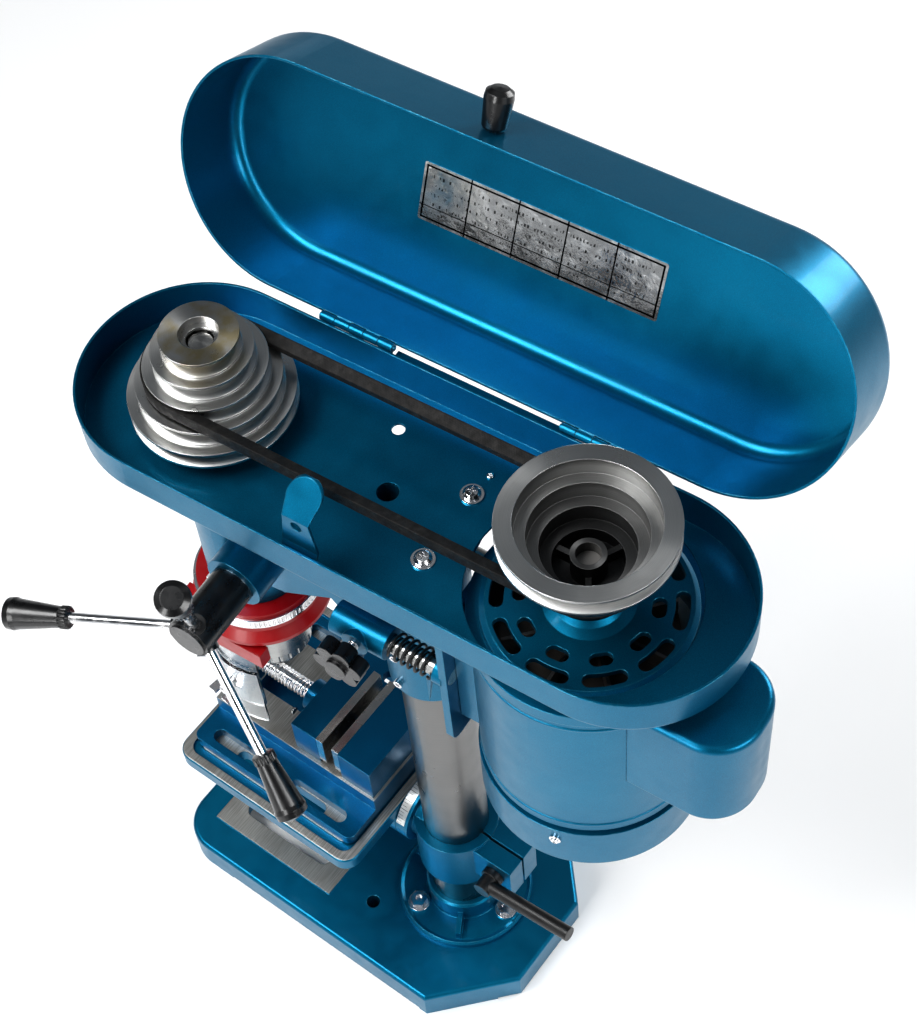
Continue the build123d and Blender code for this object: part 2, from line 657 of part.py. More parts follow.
def arc_slot(r, half_width, half_angle, z):
    """A vent slot that follows a circle of radius r and has round ends."""
    ring = pipe(r + half_width, r - half_width, z - 3, z + 5)
    a = radians(half_angle)
    edge = 70 * tan(a)
    sector = make_face(Polyline((0, 0), (70, edge), (70, -edge), close=True))
    body = common(ring, Pos(0, 0, z - 8) * extrude(sector, 20))
    for side in (-1, 1):
        body += post(half_width, z - 3, z + 5, r * cos(a), side * r * sin(a))
    return body


def slot_cut(r, length, width, z):
    """A short round-ended vent slot that lies across a radius."""
    w = width / 2
    half = length / 2
    body = block(r - w, r + w, -half + w, half - w, z - 4, z + 6)
    return body + post(w, z - 4, z + 6, r, -half + w) + post(w, z - 4, z + 6, r, half - w)


def motor_bearings():
    spans = ((MOTOR_BOTTOM_Z + 8, MOTOR_BOTTOM_Z + 18), (MOTOR_TOP_Z - 12, MOTOR_TOP_Z - 2))
    return [pipe(16, 7 + RUN, z0, z1, 0, MOTOR_Y) for z0, z1 in spans]


def stator():
    core = pipe(MOTOR_R - 3, 31, 416, 464, 0, MOTOR_Y)
    coils = [pipe(54, 36, 402, 416, 0, MOTOR_Y), pipe(54, 36, 464, 478, 0, MOTOR_Y)]
    return [core] + coils


def rotor():
    shaft = post(7, MOTOR_BOTTOM_Z + 9, PULLEY_Z + 22, 0, MOTOR_Y)
    core = pipe(30.4, 7, 412, 468, 0, MOTOR_Y)
    fan = pipe(12, 7, 492, 502, 0, MOTOR_Y)
    for a in range(0, 360, 45):
        fan += Pos(0, MOTOR_Y, 0) * Rot(0, 0, a) * block(11, 50, -1, 1, 492, 506)
    fan += pipe(50, 11, 492, 493.5, 0, MOTOR_Y)
    return [shaft, core, fan]


def motor_plate():
    body = block(-46, 46, 40.0, 45.0, 372, 496)
    body = fillet(upright(body, Axis.Y), 8)
    for x in (-RAIL_X, RAIL_X):
        body += bar_y(9, 34.6, 41, x, RAIL_Z)
        body -= bar_y(6, 30, 50, x, RAIL_Z)
    return body


def slide_rods():
    rods = []
    for x in (-RAIL_X, RAIL_X):
        rods.append(bar_y(6, -32, 45.0, x, RAIL_Z))
    return rods


def tension_spring():
    """A coil spring round the near slide rod, from its boss to the plate's boss."""
    path = Helix(pitch=4.6, height=27.6, radius=8.2)
    wire = Plane(path @ 0, z_dir=path % 0) * Circle(0.9)
    coil = sweep(wire, path=path, is_frenet=True)
    return Pos(RAIL_X, 4.4, RAIL_Z) * Rot(-90, 0, 0) * coil


def capacitor_box():
    rear, wall = 229.0, 2.5
    body = block(-18, 45, MOTOR_Y + 40, rear, 436, 516)
    body = fillet(upright(body, Axis.Z).sort_by(Axis.Y)[-2:], 28)
    body = fillet(body.faces().sort_by(Axis.Z)[-1].edges(), 4)
    body = fillet(body.faces().sort_by(Axis.Z)[0].edges(), 3)
    inner = block(wall - 18, 45 - wall, MOTOR_Y + 30, rear - wall, 439, 512)
    body -= fillet(upright(inner, Axis.Z).sort_by(Axis.Y)[-2:], 25.5)
    body -= post(SHELL_R, 300, 600, 0, MOTOR_Y) + post(MOTOR_R, MOTOR_TOP_Z - 16, 600, 0, MOTOR_Y)
    can = bar_y(15, MOTOR_Y + MOTOR_R + 0.5, 216, 14, 474)
    return [body, can]


def slide_lock_knob():
    body = bar_x(11, 58, 68, -17, RAIL_Z)
    for i in range(6):
        a = radians(60 * i + 10)
        body += bar_x(6, 58, 68, -17 + 11 * cos(a), RAIL_Z + 11 * sin(a))
    body += bar_x(7, 68, 70, -17, RAIL_Z)
    body += bar_x(3, 44.3, 59, -17, RAIL_Z)
    return body


# --- switch ---
SWITCH_Y = -98.0
START_Z = 500.0
STOP_Z = 478.0


def switch_box():
    body = block(-62, -25, SWITCH_Y - 14, SWITCH_Y + 14, 466, 512)
    body -= block(-60, -27, SWITCH_Y - 12, SWITCH_Y + 12, 468, 510)
    for z in (STOP_Z, START_Z):
        body -= bar_x(6.35, -63, -59, SWITCH_Y, z)
    body -= bar_y(3.2, SWITCH_Y + 10, SWITCH_Y + 15, -46, 478)
    gland = bar_y(6, SWITCH_Y + 14, SWITCH_Y + 22, -46, 478) - bar_y(3.2, SWITCH_Y, SWITCH_Y + 23, -46, 478)
    return [body, gland]


def button(z, proud):
    return bar_x(6, -62 - proud, -57, SWITCH_Y, z) + bar_x(7.4, -59.6, -57.2, SWITCH_Y, z)


# --- chuck guard ---
GUARD_R = 42.0
NUT_ANGLES = (-58.0, -12.0)
NUT_Z = 268.0


def guard_collar():
    body = turned([
        (30.1, 346), (38, 346), (44, 341), (46, 342), (46, 345), (41, 352), (40, 368), (30.1, 368),
    ], 0, SPINDLE_Y)
    body += block(30, 44, SPINDLE_Y - 34, SPINDLE_Y - 4, 341, 360)
    body -= post(30.1, 330, 380, 0, SPINDLE_Y)
    body -= bar_y(2.5 + RUN, SPINDLE_Y - 40, SPINDLE_Y, 39, 348)
    body -= block(33.6, 50, SPINDLE_Y - 26, SPINDLE_Y - 12, 330, 370)
    return body


def guard_arm():
    """The red arm that hangs from the pin and holds the upper clear shield."""
    body = bar_y(4.8, SPINDLE_Y - 25.7, SPINDLE_Y - 12.3, 39, 348)
    body += block(34.2, 43.8, SPINDLE_Y - 25.7, SPINDLE_Y - 12.3, 330, 348)
    body += block(35, 44, SPINDLE_Y - 26, SPINDLE_Y + 28, 324, 338)
    body -= bar_y(2.5, SPINDLE_Y - 40, SPINDLE_Y, 39, 348)
    pin = bar_y(2.5, SPINDLE_Y - 35.5, SPINDLE_Y - 3, 39, 348)
    return [body, pin]


def shield_panel(r, z0, z1, holes, slots):
    """A clear panel curved about the spindle, from the right side round to the front."""
    ring = pipe(r + 2.2, r, z0, z1, 0, SPINDLE_Y)
    lo, hi = radians(-88), radians(22)
    far = 90
    corners = [(0, 0)] + [(far * cos(a), far * sin(a)) for a in (lo, (lo + hi) / 2, hi)]
    keep = extrude(make_face(Polyline(*corners, close=True)), z1 - z0)
    body = common(ring, Pos(0, SPINDLE_Y, z0) * keep)
    for a in NUT_ANGLES:
        cut = Pos(0, SPINDLE_Y, 0) * Rot(0, 0, a)
        if holes:
            body -= cut * bar_x(2.1, r - 5, r + 8, 0, NUT_Z)
        if slots:
            body -= cut * block(r - 5, r + 8, -2.2, 2.2, NUT_Z - 24, NUT_Z + 2.2)
    return body


def guard_shield_upper():
    return shield_panel(GUARD_R - 2.5, 256, 330, True, False) - block(
        33, 50, SPINDLE_Y - 27, SPINDLE_Y + 30, 323, 340)


def guard_shield_lower():
    return shield_panel(GUARD_R, 238, 300, False, True)


def wing_nut(a):
    """A wing nut on its screw, through both clear panels."""
    r = GUARD_R
    body = bar_x(4, r + 2.6, r + 8, 0, 0)
    for side in (-1, 1):
        body += Pos(r + 8.5, side * 6.25, 0) * Box(9, 6.5, 2)
    body += bar_x(2, r - 4, r + 9, 0, 0) + bar_x(3.6, r - 6.4, r - 2.8, 0, 0)
    return Pos(0, SPINDLE_Y, NUT_Z) * Rot(0, 0, a) * body


# --- table ---
def table_bracket():
    body = post(30, COLLAR_BOTTOM_Z, COLLAR_TOP_Z)
    body += bar_y(TILT_R, -33.7, -24, 0, TILT_Z)
    body += bar_y(22, -30, -10, 0, TILT_Z)
    body += block(-15, 15, 20, 58, COLLAR_BOTTOM_Z + 14, COLLAR_TOP_Z - 2)
    body -= post(COLUMN_R + RUN, 80, 170)
    body -= block(-1, 1, 0, 60, 80, 170)
    body -= bar_x(4 + RUN, -40, 40, 44, 130)
    body -= bar_y(6 + RUN, -40, -20, 0, TILT_Z)
    return body


def table_clamp_lever():
    """A clamp screw across the bracket's ears with a bent lever cast on its head."""
    body = bar_x(4, -19, 18, 44, 130) + bar_x(8, 15.3, 20, 44, 130) + bar_x(6.5, 18, 31, 44, 130)
    arm = Pos(25, 44, 130) * Rot(8, 0, 0) * bar_y(5.2, 0, 72, 0, 0)
    nut = Pos(-21.6, 44, 130) * Rot(0, 90, 0) * hexagon(12, 6)
    return body + arm + nut


def table():
    z1, z0 = TABLE_TOP_Z, TABLE_TOP_Z - 12
    w = TABLE_HALF_WIDTH
    body = block(-w, w, TABLE_FRONT_Y, TABLE_REAR_Y, z0, z1)
    body = fillet(upright(body, Axis.Z), 12)
    body = fillet(body.faces().sort_by(Axis.Z)[-1].edges(), 1.5)
    # drip groove near the rim
    groove = block(-w + 7, w - 7, TABLE_FRONT_Y + 7, TABLE_REAR_Y - 7, z1 - 2.5, z1 + 1)
    groove = fillet(upright(groove, Axis.Z), 8)
    land = block(-w + 13, w - 13, TABLE_FRONT_Y + 13, TABLE_REAR_Y - 13, z1 - 3, z1 + 2)
    land = fillet(upright(land, Axis.Z), 5)
    body -= groove - land
    body += common(bar_y(TILT_R, -46, TABLE_REAR_Y, 0, TILT_Z), block(-60, 60, -60, 0, 90, z0 + 1))
    for x in (-20, 20):
        body += block(x - 3, x + 3, TABLE_FRONT_Y + 18, -40, z0 - 10, z0 + 1)
    middle = (TABLE_FRONT_Y + TABLE_REAR_Y) / 2
    body -= post(12, z0 - 12, z1 + 1, 0, middle)
    for x in (-55, 55):
        body -= oblong(5, middle - 35, middle + 35, z0 - 12, z1 + 1).moved(Location((x, 0, 0)))
    body -= bar_y(6.3, -60, -20, 0, TILT_Z)
    body -= bar_y(12, -80, -46, 0, TILT_Z)
    return body


def tilt_bolt():
    head = Pos(0, -46, TILT_Z) * Rot(90, 0, 0) * hexagon(19, 7)
    return head + bar_y(6, -46.5, -24.2, 0, TILT_Z)


# --- vise ---
def vise_base():
    z0 = TABLE_TOP_Z
    body = block(-65, 65, -187, -42, z0, z0 + 9)
    body = fillet(upright(body, Axis.Z), 6)
    body += block(-36, 36, -187, -42, z0 + 8, z0 + 22)
    body += block(-34, 34, VISE_JAW_Y + 10, -44, z0 + 20, 211)
    body += block(-24, 24, -187, -170, z0 + 20, VISE_SCREW_Z + 10)
    body -= block(-10.5, 10.5, -169, VISE_JAW_Y + 10, z0 + 8, z0 + 25)
    for x in (-54, 54):
        for y in (-150, -80):
            body -= oblong(5, y - 20, y + 20, z0 - 1, z0 + 12).moved(Location((x, 0, 0)))
    body -= bar_y(7.05, -190, -169, 0, VISE_SCREW_Z)
    return body


def jaw_plate(y0):
    plate = block(-33, 33, y0, y0 + 6, 183, 211.5)
    return plate - block(-40, 40, y0 - 1, y0 + 0.8 if y0 > VISE_JAW_Y else y0 - 0.5, 196, 198)


def vise_jaw():
    y1 = VISE_JAW_Y - 10
    body = block(-33, 33, y1 - 22, y1, 178.3, 211)
    body += bar_y(12, y1 - 31, y1 - 20, 0, VISE_SCREW_Z)
    body += block(-10.2, 10.2, y1 - 30, y1, 166, 180)
    return body - bar_y(5 + RUN, y1 - 35, y1 - 16, 0, VISE_SCREW_Z)


def vise_screw():
    y1 = VISE_JAW_Y - 41
    body = bar_y(7, -205, y1, 0, VISE_SCREW_Z) + bar_y(5, y1 - 1, y1 + 10, 0, VISE_SCREW_Z)
    body += bar_y(9, -217, -203, 0, VISE_SCREW_Z)
    return body - post(3 + RUN, 180, 210, 0, -210)


def vise_handle():
    z = VISE_SCREW_Z
    body = post(3, z - 54, z + 10, 0, -210)
    return body + post(5, z - 60, z - 53, 0, -210) + post(5, z + 9.3, z + 16, 0, -210)


def vise_bolts():
    """Two bolts with washers, down through the vise's left slots into the table's slot."""
    solids = []
    for y in (-140, -88):
        solids += [Pos(-54.5, y, 0) * s for s in bolt(3.5, 11, 5, TABLE_TOP_Z + 9, TABLE_TOP_Z - 22)]
    return solids


def build():
    """Write every node: the stand's about the column, and the head's swung round it."""
    os.makedirs("parts", exist_ok=True)
    on_stand = {
        "base": base(), "column_flange": column_flange(), "flange_bolts": flange_bolts(),
        "column": pipe(COLUMN_R, COLUMN_R - 3, COLUMN_FOOT_Z, COLUMN_TOP_Z),
        "table_bracket": table_bracket(), "table_clamp_lever": table_clamp_lever(), "table": table(),
        "vise_base": vise_base(), "fixed_jaw_plate": jaw_plate(VISE_JAW_Y + 4),
        "moving_jaw": vise_jaw(), "moving_jaw_plate": jaw_plate(VISE_JAW_Y - 10),
        "vise_screw": vise_screw(), "vise_handle": vise_handle(),
        "table_bolts": [tilt_bolt(), vise_bolts()],
    }
    on_head = {
        "head_casting": head_casting(), "head_fasteners": [head_screws(), pan_screws()],
        "sleeve_bearings": sleeve_bearings(), "quill": quill(), "quill_bearings": quill_bearings(),
        "spindle": spindle(), "chuck_body": chuck_body(),
        "chuck_sleeve": chuck_sleeve(), "feed_shaft": feed_shaft(), "feed_hub": feed_hub(),
        "feed_rods": feed_rods(), "feed_knobs": feed_knobs(), "spring_cap": spring_cap(),
        "return_spring": return_spring(), "belt_guard_pan": belt_guard_pan(),
        "pan_hinges": pan_hinges(), "latch_tab": latch_tab(),
        "lid": opened(lid_shape()), "lid_knob": opened(lid_knob()),
        "spindle_pulley": spindle_pulley(), "pulley_sleeve": pulley_sleeve(),
        "motor_pulley": motor_pulley(), "v_belt": v_belt(), "motor_shell": motor_shell(),
        "motor_base_cap": motor_base_cap(), "motor_end_bell": motor_end_bell(),
        "motor_bearings": motor_bearings(), "stator": stator(), "rotor": rotor(),
        "motor_plate": motor_plate(), "slide_rods": slide_rods(), "tension_spring": tension_spring(),
        "capacitor_box": capacitor_box(), "slide_lock_knob": slide_lock_knob(),
        "switch_box": switch_box(), "start_button": button(START_Z, 1.0), "stop_button": button(STOP_Z, 4.0),
        "guard_collar": guard_collar(), "guard_arm": guard_arm(),
        "guard_shield_upper": guard_shield_upper(), "guard_shield_lower": guard_shield_lower(),
    }
    for i, a in enumerate((30, 150, 270)):
        on_head[f"chuck_jaw_{i + 1}"] = chuck_jaw(a)
    for i, a in enumerate(NUT_ANGLES):
        on_head[f"wing_nut_{i + 1}"] = wing_nut(a)
    for name, shape in on_stand.items():
        save(name, shape, STAND)
    for name, shape in on_head.items():
        save(name, shape, HEAD)
    print(len(on_stand) + len(on_head), "nodes")


build()
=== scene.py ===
import math

import bmesh
import bpy
import numpy as np
from mathutils import Matrix, Vector


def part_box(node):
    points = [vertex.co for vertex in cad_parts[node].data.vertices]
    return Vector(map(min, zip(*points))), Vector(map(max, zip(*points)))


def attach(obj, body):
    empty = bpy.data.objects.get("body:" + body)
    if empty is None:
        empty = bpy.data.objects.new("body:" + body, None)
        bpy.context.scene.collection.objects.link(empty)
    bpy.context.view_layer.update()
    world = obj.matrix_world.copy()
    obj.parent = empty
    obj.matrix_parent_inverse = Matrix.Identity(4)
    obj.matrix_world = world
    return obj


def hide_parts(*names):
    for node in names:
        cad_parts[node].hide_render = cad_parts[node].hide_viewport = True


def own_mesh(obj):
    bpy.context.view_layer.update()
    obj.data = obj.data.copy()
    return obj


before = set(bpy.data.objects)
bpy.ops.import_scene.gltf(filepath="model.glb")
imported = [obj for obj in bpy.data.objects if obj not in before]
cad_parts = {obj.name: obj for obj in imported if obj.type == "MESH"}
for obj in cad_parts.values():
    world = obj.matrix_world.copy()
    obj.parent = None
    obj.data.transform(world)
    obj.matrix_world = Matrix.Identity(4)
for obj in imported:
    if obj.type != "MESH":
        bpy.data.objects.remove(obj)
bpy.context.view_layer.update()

# A bench drill press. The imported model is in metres: +Z up, the operator on the -Y side,
# the origin on the bench midway between the two bench bolts.
MM = 0.001
TURN = 2 * math.pi


def middle(node):
    """The centre of a node's box."""
    low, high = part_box(node)
    return (Vector(low) + Vector(high)) / 2


COLUMN = middle("column")
SPINDLE = middle("spindle_pulley")
MOTOR = middle("motor_pulley")
SWING = math.atan2(SPINDLE.x - COLUMN.x, COLUMN.y - SPINDLE.y)
TABLE_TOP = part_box("vise_base")[0][2]
BASE_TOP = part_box("column_flange")[0][2]
BED_TOP = TABLE_TOP + 22 * MM
PULLEY_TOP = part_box("spindle_pulley")[1][2]

# Places in millimetres about the column. Those of the head are before the head's swing.
SPINDLE_Y = -135.0
MOTOR_Y = 114.0
BELL_R, BELL_TOP = 60.0, 524.0
TILT_Z = 133.0
VISE_SCREW_Z = 196.0
RAIL_X, RAIL_Z = 38.0, 440.0
HINGE_X, HINGE_Z = -73.6, 556.0
FEED_ROD_START = (87.0, -104.0, 439.0)

# Angles: the open lid, the feed rods' lean out of the hub's plane, and the first rod's bearing.
LID_OPENING = math.radians(112)
FEED_ROD_LEAN, FEED_ROD_FIRST = math.radians(18), math.radians(192.6)


def on_head(points):
    """Head points in millimetres about the column, turned by the head's swing and set on the column."""
    points = np.asarray(points, float) * MM
    c, s = math.cos(SWING), math.sin(SWING)
    x, y, z = points[..., 0], points[..., 1], points[..., 2]
    return np.stack([c * x - s * y + COLUMN.x, s * x + c * y + COLUMN.y, z], -1)


def on_stand(points):
    """Stand points in millimetres about the column, set on the column."""
    return np.asarray(points, float) * MM + np.array([COLUMN.x, COLUMN.y, 0])


# --- finishes ---
class Finish:
    """A material being made: its node tree, its shader and the object's own coordinates."""

    def __init__(self, name, **sockets):
        self.material = bpy.data.materials.new(name)
        self.material.use_nodes = True
        self.tree = self.material.node_tree
        self.shader = self.tree.nodes["Principled BSDF"]
        for key, value in sockets.items():
            self.shader.inputs[key.replace("_", " ")].default_value = value
        self.place = self.node("TexCoord").outputs["Object"]
        self.normal = self.node("NewGeometry").outputs["Normal"]

    def node(self, kind, inputs=(), **settings):
        """A node with its settings, each input linked to a socket or set to a value."""
        made = self.tree.nodes.new("ShaderNode" + kind)
        for key, value in settings.items():
            setattr(made, key, value)
        for key, value in dict(inputs).items():
            if isinstance(value, bpy.types.NodeSocket):
                self.tree.links.new(value, made.inputs[key])
            else:
                made.inputs[key].default_value = value
        return made

    def feed(self, socket, value):
        """Links a value to one of the shader's inputs."""
        self.tree.links.new(value, self.shader.inputs[socket])

    def math(self, operation, first, second=0.0, third=0.0):
        """The result of one sum on sockets or values."""
        inputs = {0: first, 1: second, 2: third}
        return self.node("Math", inputs, operation=operation).outputs[0]

    def fields(self, vector):
        """The x, y and z of a vector."""
        return self.node("SeparateXYZ", {0: vector}).outputs

    def joined(self, x, y, z):
        """A vector of three values."""
        return self.node("CombineXYZ", {0: x, 1: y, 2: z}).outputs[0]

    def noise(self, size, detail=2.0, at=None, rough=0.5):
        """Noise whose features are about size metres across."""
        inputs = {"Vector": at or self.place, "Scale": 1 / size, "Detail": detail, "Roughness": rough}
        return self.node("TexNoise", inputs).outputs[0]

    def stretched(self, x, y, z):
        """The object's coordinates divided by three sizes, for a grain that runs one way."""
        return self.node("Mapping", {"Vector": self.place, "Scale": (1 / x, 1 / y, 1 / z)}).outputs[0]

    def spread(self, value, low, high, to_low=0.0, to_high=1.0):
        """A value's span from low to high, carried to another span and held at its ends."""
        inputs = {"Value": value, "From Min": low, "From Max": high, "To Min": to_low, "To Max": to_high}
        return self.node("MapRange", inputs).outputs[0]

    def blend(self, factor, first, second):
        """One colour turning into another."""
        made = self.node("Mix", {0: factor}, data_type="RGBA")
        for slot, value in ((6, first), (7, second)):
            if isinstance(value, bpy.types.NodeSocket):
                self.tree.links.new(value, made.inputs[slot])
            else:
                made.inputs[slot].default_value = (*value, 1)
        return made.outputs[2]

    def within(self, value, low, high):
        """1 where a value lies between two limits, else 0."""
        above = self.math("GREATER_THAN", value, low)
        return self.math("MULTIPLY", above, self.math("LESS_THAN", value, high))

    def product(self, *values):
        """All the values multiplied."""
        result = values[0]
        for value in values[1:]:
            result = self.math("MULTIPLY", result, value)
        return result

    def round_corners(self, radius):
        """A normal that rounds the sharp corners of a part, and how near a corner each point is."""
        soft = self.node("Bevel", {"Radius": radius}, samples=4).outputs[0]
        dot = self.node("VectorMath", {0: soft, 1: self.normal}, operation="DOT_PRODUCT").outputs["Value"]
        return soft, self.spread(dot, 0.995, 0.86)

    def relief(self, height, depth, normal=None, strength=1.0):
        """A bump of a height field, depth metres deep, over an earlier normal."""
        inputs = {"Height": height, "Distance": depth, "Strength": strength}
        if normal:
            inputs["Normal"] = normal
        return self.node("Bump", inputs).outputs[0]


def enamel(name, deep, light, bare=None, fleck=0.00035):
    """Metallic gloss enamel: flakes, a slow drift of tone, orange peel, thin paler corners that are partly
    rubbed paint and partly a painted highlight.

    bare takes the finish and gives a mask that is 1 on faces machined to bare iron.
    """
    coat = 0.12
    f = Finish(name, Coat_Weight=coat, Coat_Roughness=0.08, Coat_IOR=1.4, Specular_IOR_Level=0.2)
    flakes = f.spread(f.noise(fleck, 2.0), 0.42, 0.72)
    drift = f.spread(f.noise(0.11, 2.0), 0.3, 0.7, 0.0, 0.35)
    tone = f.math("ADD", f.math("MULTIPLY", flakes, 0.42), f.math("MULTIPLY", drift, 0.5))
    colour = f.blend(tone, deep, light)
    soft, corner = f.round_corners(0.0009)
    # Corners painted paler in patches: partly rubbed paint, partly a painted highlight along the edges.
    rubbed_and_highlit = f.product(corner, f.spread(f.noise(0.004, 4.0), 0.4, 0.64), 0.5)
    colour = f.blend(rubbed_and_highlit, colour, (0.12, 0.38, 0.48))
    metal = f.spread(flakes, 0.0, 1.0, 0.72, 0.92)
    rough = f.spread(f.noise(0.012, 4.0), 0.3, 0.7, 0.30, 0.38)
    peel = f.noise(0.0022, 2.0)
    normal = f.relief(peel, 0.00002, soft, 0.5)
    if bare:
        mask = bare(f)
        marks = f.noise(1.0, 3.0, f.stretched(0.03, 0.0006, 0.03))
        arcs = f.noise(0.02, 4.0)
        iron = f.blend(f.spread(marks, 0.3, 0.7), (0.20, 0.20, 0.19), (0.42, 0.42, 0.40))
        iron = f.blend(f.spread(arcs, 0.45, 0.75, 0.0, 0.45), iron, (0.13, 0.125, 0.11))
        colour = f.blend(mask, colour, iron)
        metal = f.math("ADD", f.product(metal, f.math("SUBTRACT", 1.0, mask)), f.product(mask, 0.85))
        rough = f.math("ADD", f.product(rough, f.math("SUBTRACT", 1.0, mask)), f.product(mask, 0.4))
        grain = f.math("MULTIPLY", marks, mask)
        normal = f.relief(grain, 0.00003, normal)
        f.feed("Coat Weight", f.math("SUBTRACT", coat, f.product(mask, coat)))
    f.feed("Base Color", colour)
    f.feed("Metallic", metal)
    f.feed("Roughness", rough)
    f.feed("Normal", normal)
    f.feed("Coat Normal", f.relief(peel, 0.000018, soft, 0.4))
    return f.material


def level_top(f, height, depth=0.0016):
    """1 on level faces near a height, looking up."""
    up = f.math("GREATER_THAN", f.fields(f.normal)[2], 0.9)
    return f.product(up, f.within(f.fields(f.place)[2], height - depth, height + depth))


def bare_base(f):
    """The base's worktable at the front is machined, with a painted border and groove."""
    half, front, back = 0.0665, -0.1435, -0.0305
    across, along, _ = f.fields(f.place)
    pad = f.product(f.within(across, -half, half), f.within(along, front, back))
    return f.product(level_top(f, BASE_TOP + 1.2 * MM, 0.5 * MM), pad)


def bare_table(f):
    """The table's whole top is machined, but its groove is painted."""
    return level_top(f, TABLE_TOP, 0.5 * MM)


def bare_vise(f):
    """The vise's bed is ground, and its jaws keep their paint."""
    return level_top(f, BED_TOP, 0.6 * MM)


def machined(name, colour, rough=0.28, about=None, size=0.00035, oil=None, strength=0.35, cast_and_shaded_hollow=None):
    """Turned or ground metal. The tool marks are rings about an upright line, or run level.

    Turned faces stretch their reflections across the marks. oil is a brown film near the top, and
    the last argument is a radius and a height: inside and below them the metal is rough like a casting
    and painted darker the deeper it lies, a painted shade in the hollow.
    """
    turned = about is not None
    f = Finish(name, Metallic=1.0, Anisotropic=0.7 if turned else 0.3)
    x, y, z = f.fields(f.place)
    if turned:
        dx = f.math("SUBTRACT", x, about[0])
        dy = f.math("SUBTRACT", y, about[1])
        radius = f.math("SQRT", f.math("ADD", f.math("POWER", dx, 2.0), f.math("POWER", dy, 2.0)))
        at = f.joined(f.math("MULTIPLY", radius, 1 / size), 0.0, f.math("MULTIPLY", z, 1 / size))
        f.feed("Tangent", f.joined(f.math("MULTIPLY", dy, -1.0), dx, 0.0))
    else:
        at = f.stretched(size * 40, size * 40, size)
    lines = f.noise(1.0, 2.0, at, 0.5)
    broad = f.noise(0.035, 2.0)
    dull = tuple(c * 0.72 for c in colour)
    tone = f.math("ADD", f.spread(lines, 0.3, 0.7, 0.0, 0.7), f.spread(broad, 0.3, 0.7, 0.0, 0.22))
    shade = f.blend(tone, dull, colour)
    soft, corner = f.round_corners(0.0005)
    # Corners painted paler all along: a painted highlight on the edges.
    shade = f.blend(f.product(corner, 0.5), shade, (0.85, 0.85, 0.84))
    if oil:
        low, high, tint = oil
        smear = f.product(f.spread(z, low, high), f.spread(f.noise(0.016, 4.0), 0.42, 0.6))
        shade = f.blend(f.product(smear, 0.75), shade, tint)
    even = f.spread(f.noise(0.02, 3.0), 0.25, 0.75, rough * 0.85, rough * 1.2)
    if cast_and_shaded_hollow:
        # Inside the hollow: rough like a casting, and painted darker the deeper it lies, a painted shade in
        # the recess.
        inside = f.product(f.math("LESS_THAN", radius, cast_and_shaded_hollow[0]), f.math("LESS_THAN", z, cast_and_shaded_hollow[1]))
        deep = f.spread(z, cast_and_shaded_hollow[1] - 0.040, cast_and_shaded_hollow[1] - 0.006, 0.96, 0.3)
        pits = f.spread(f.noise(0.0009, 3.0), 0.3, 0.7)
        shade = f.blend(f.product(inside, deep), shade, (0.022, 0.023, 0.025))
        even = f.math("ADD", even, f.product(inside, deep, f.spread(pits, 0.0, 1.0, 0.2, 0.36)))
    f.feed("Base Color", shade)
    f.feed("Roughness", even)
    f.feed("Normal", f.relief(lines, 0.00001, soft, strength))
    return f.material


def plated(name, colour=(0.8, 0.8, 0.82), rough=0.12):
    """Bright plated steel with fine scratches and a dull bloom in places."""
    f = Finish(name, Metallic=1.0)
    soft = f.round_corners(0.0004)[0]
    scratches = f.noise(1.0, 4.0, f.stretched(0.0004, 0.004, 0.0022))
    bloom = f.spread(f.noise(0.009, 4.0), 0.45, 0.7)
    f.feed("Base Color", f.blend(f.product(bloom, 0.45), colour, (0.5, 0.49, 0.46)))
    f.feed("Roughness", f.math("ADD", f.product(bloom, 0.18), rough))
    f.feed("Normal", f.relief(scratches, 0.00001, soft, 0.6))
    return f.material


def moulded(name, colour, rough=0.38, grain=0.0005, coat=0.0, depth=0.00003):
    """Moulded plastic: a fine grain, uneven gloss, corners rubbed a little paler."""
    f = Finish(name, Coat_Weight=coat, Coat_Roughness=0.1)
    soft, corner = f.round_corners(0.0007)
    rub = f.product(corner, f.spread(f.noise(0.005, 4.0), 0.35, 0.7), 0.4)
    pale = tuple(min(1.0, c * 1.5 + 0.03) for c in colour)
    cloud = f.spread(f.noise(0.03, 3.0), 0.3, 0.7, 0.0, 0.35)
    dust = f.spread(f.noise(0.0016, 3.0), 0.62, 0.8, 0.0, 0.35)
    shade = f.blend(cloud, colour, tuple(c * 0.6 for c in colour))
    shade = f.blend(f.math("MAXIMUM", rub, f.product(dust, 0.3)), shade, pale)
    f.feed("Base Color", shade)
    f.feed("Roughness", f.spread(f.noise(0.008, 4.0), 0.3, 0.7, rough * 0.8, rough * 1.25))
    f.feed("Normal", f.relief(f.noise(grain, 2.0), depth, soft, 0.7))
    return f.material


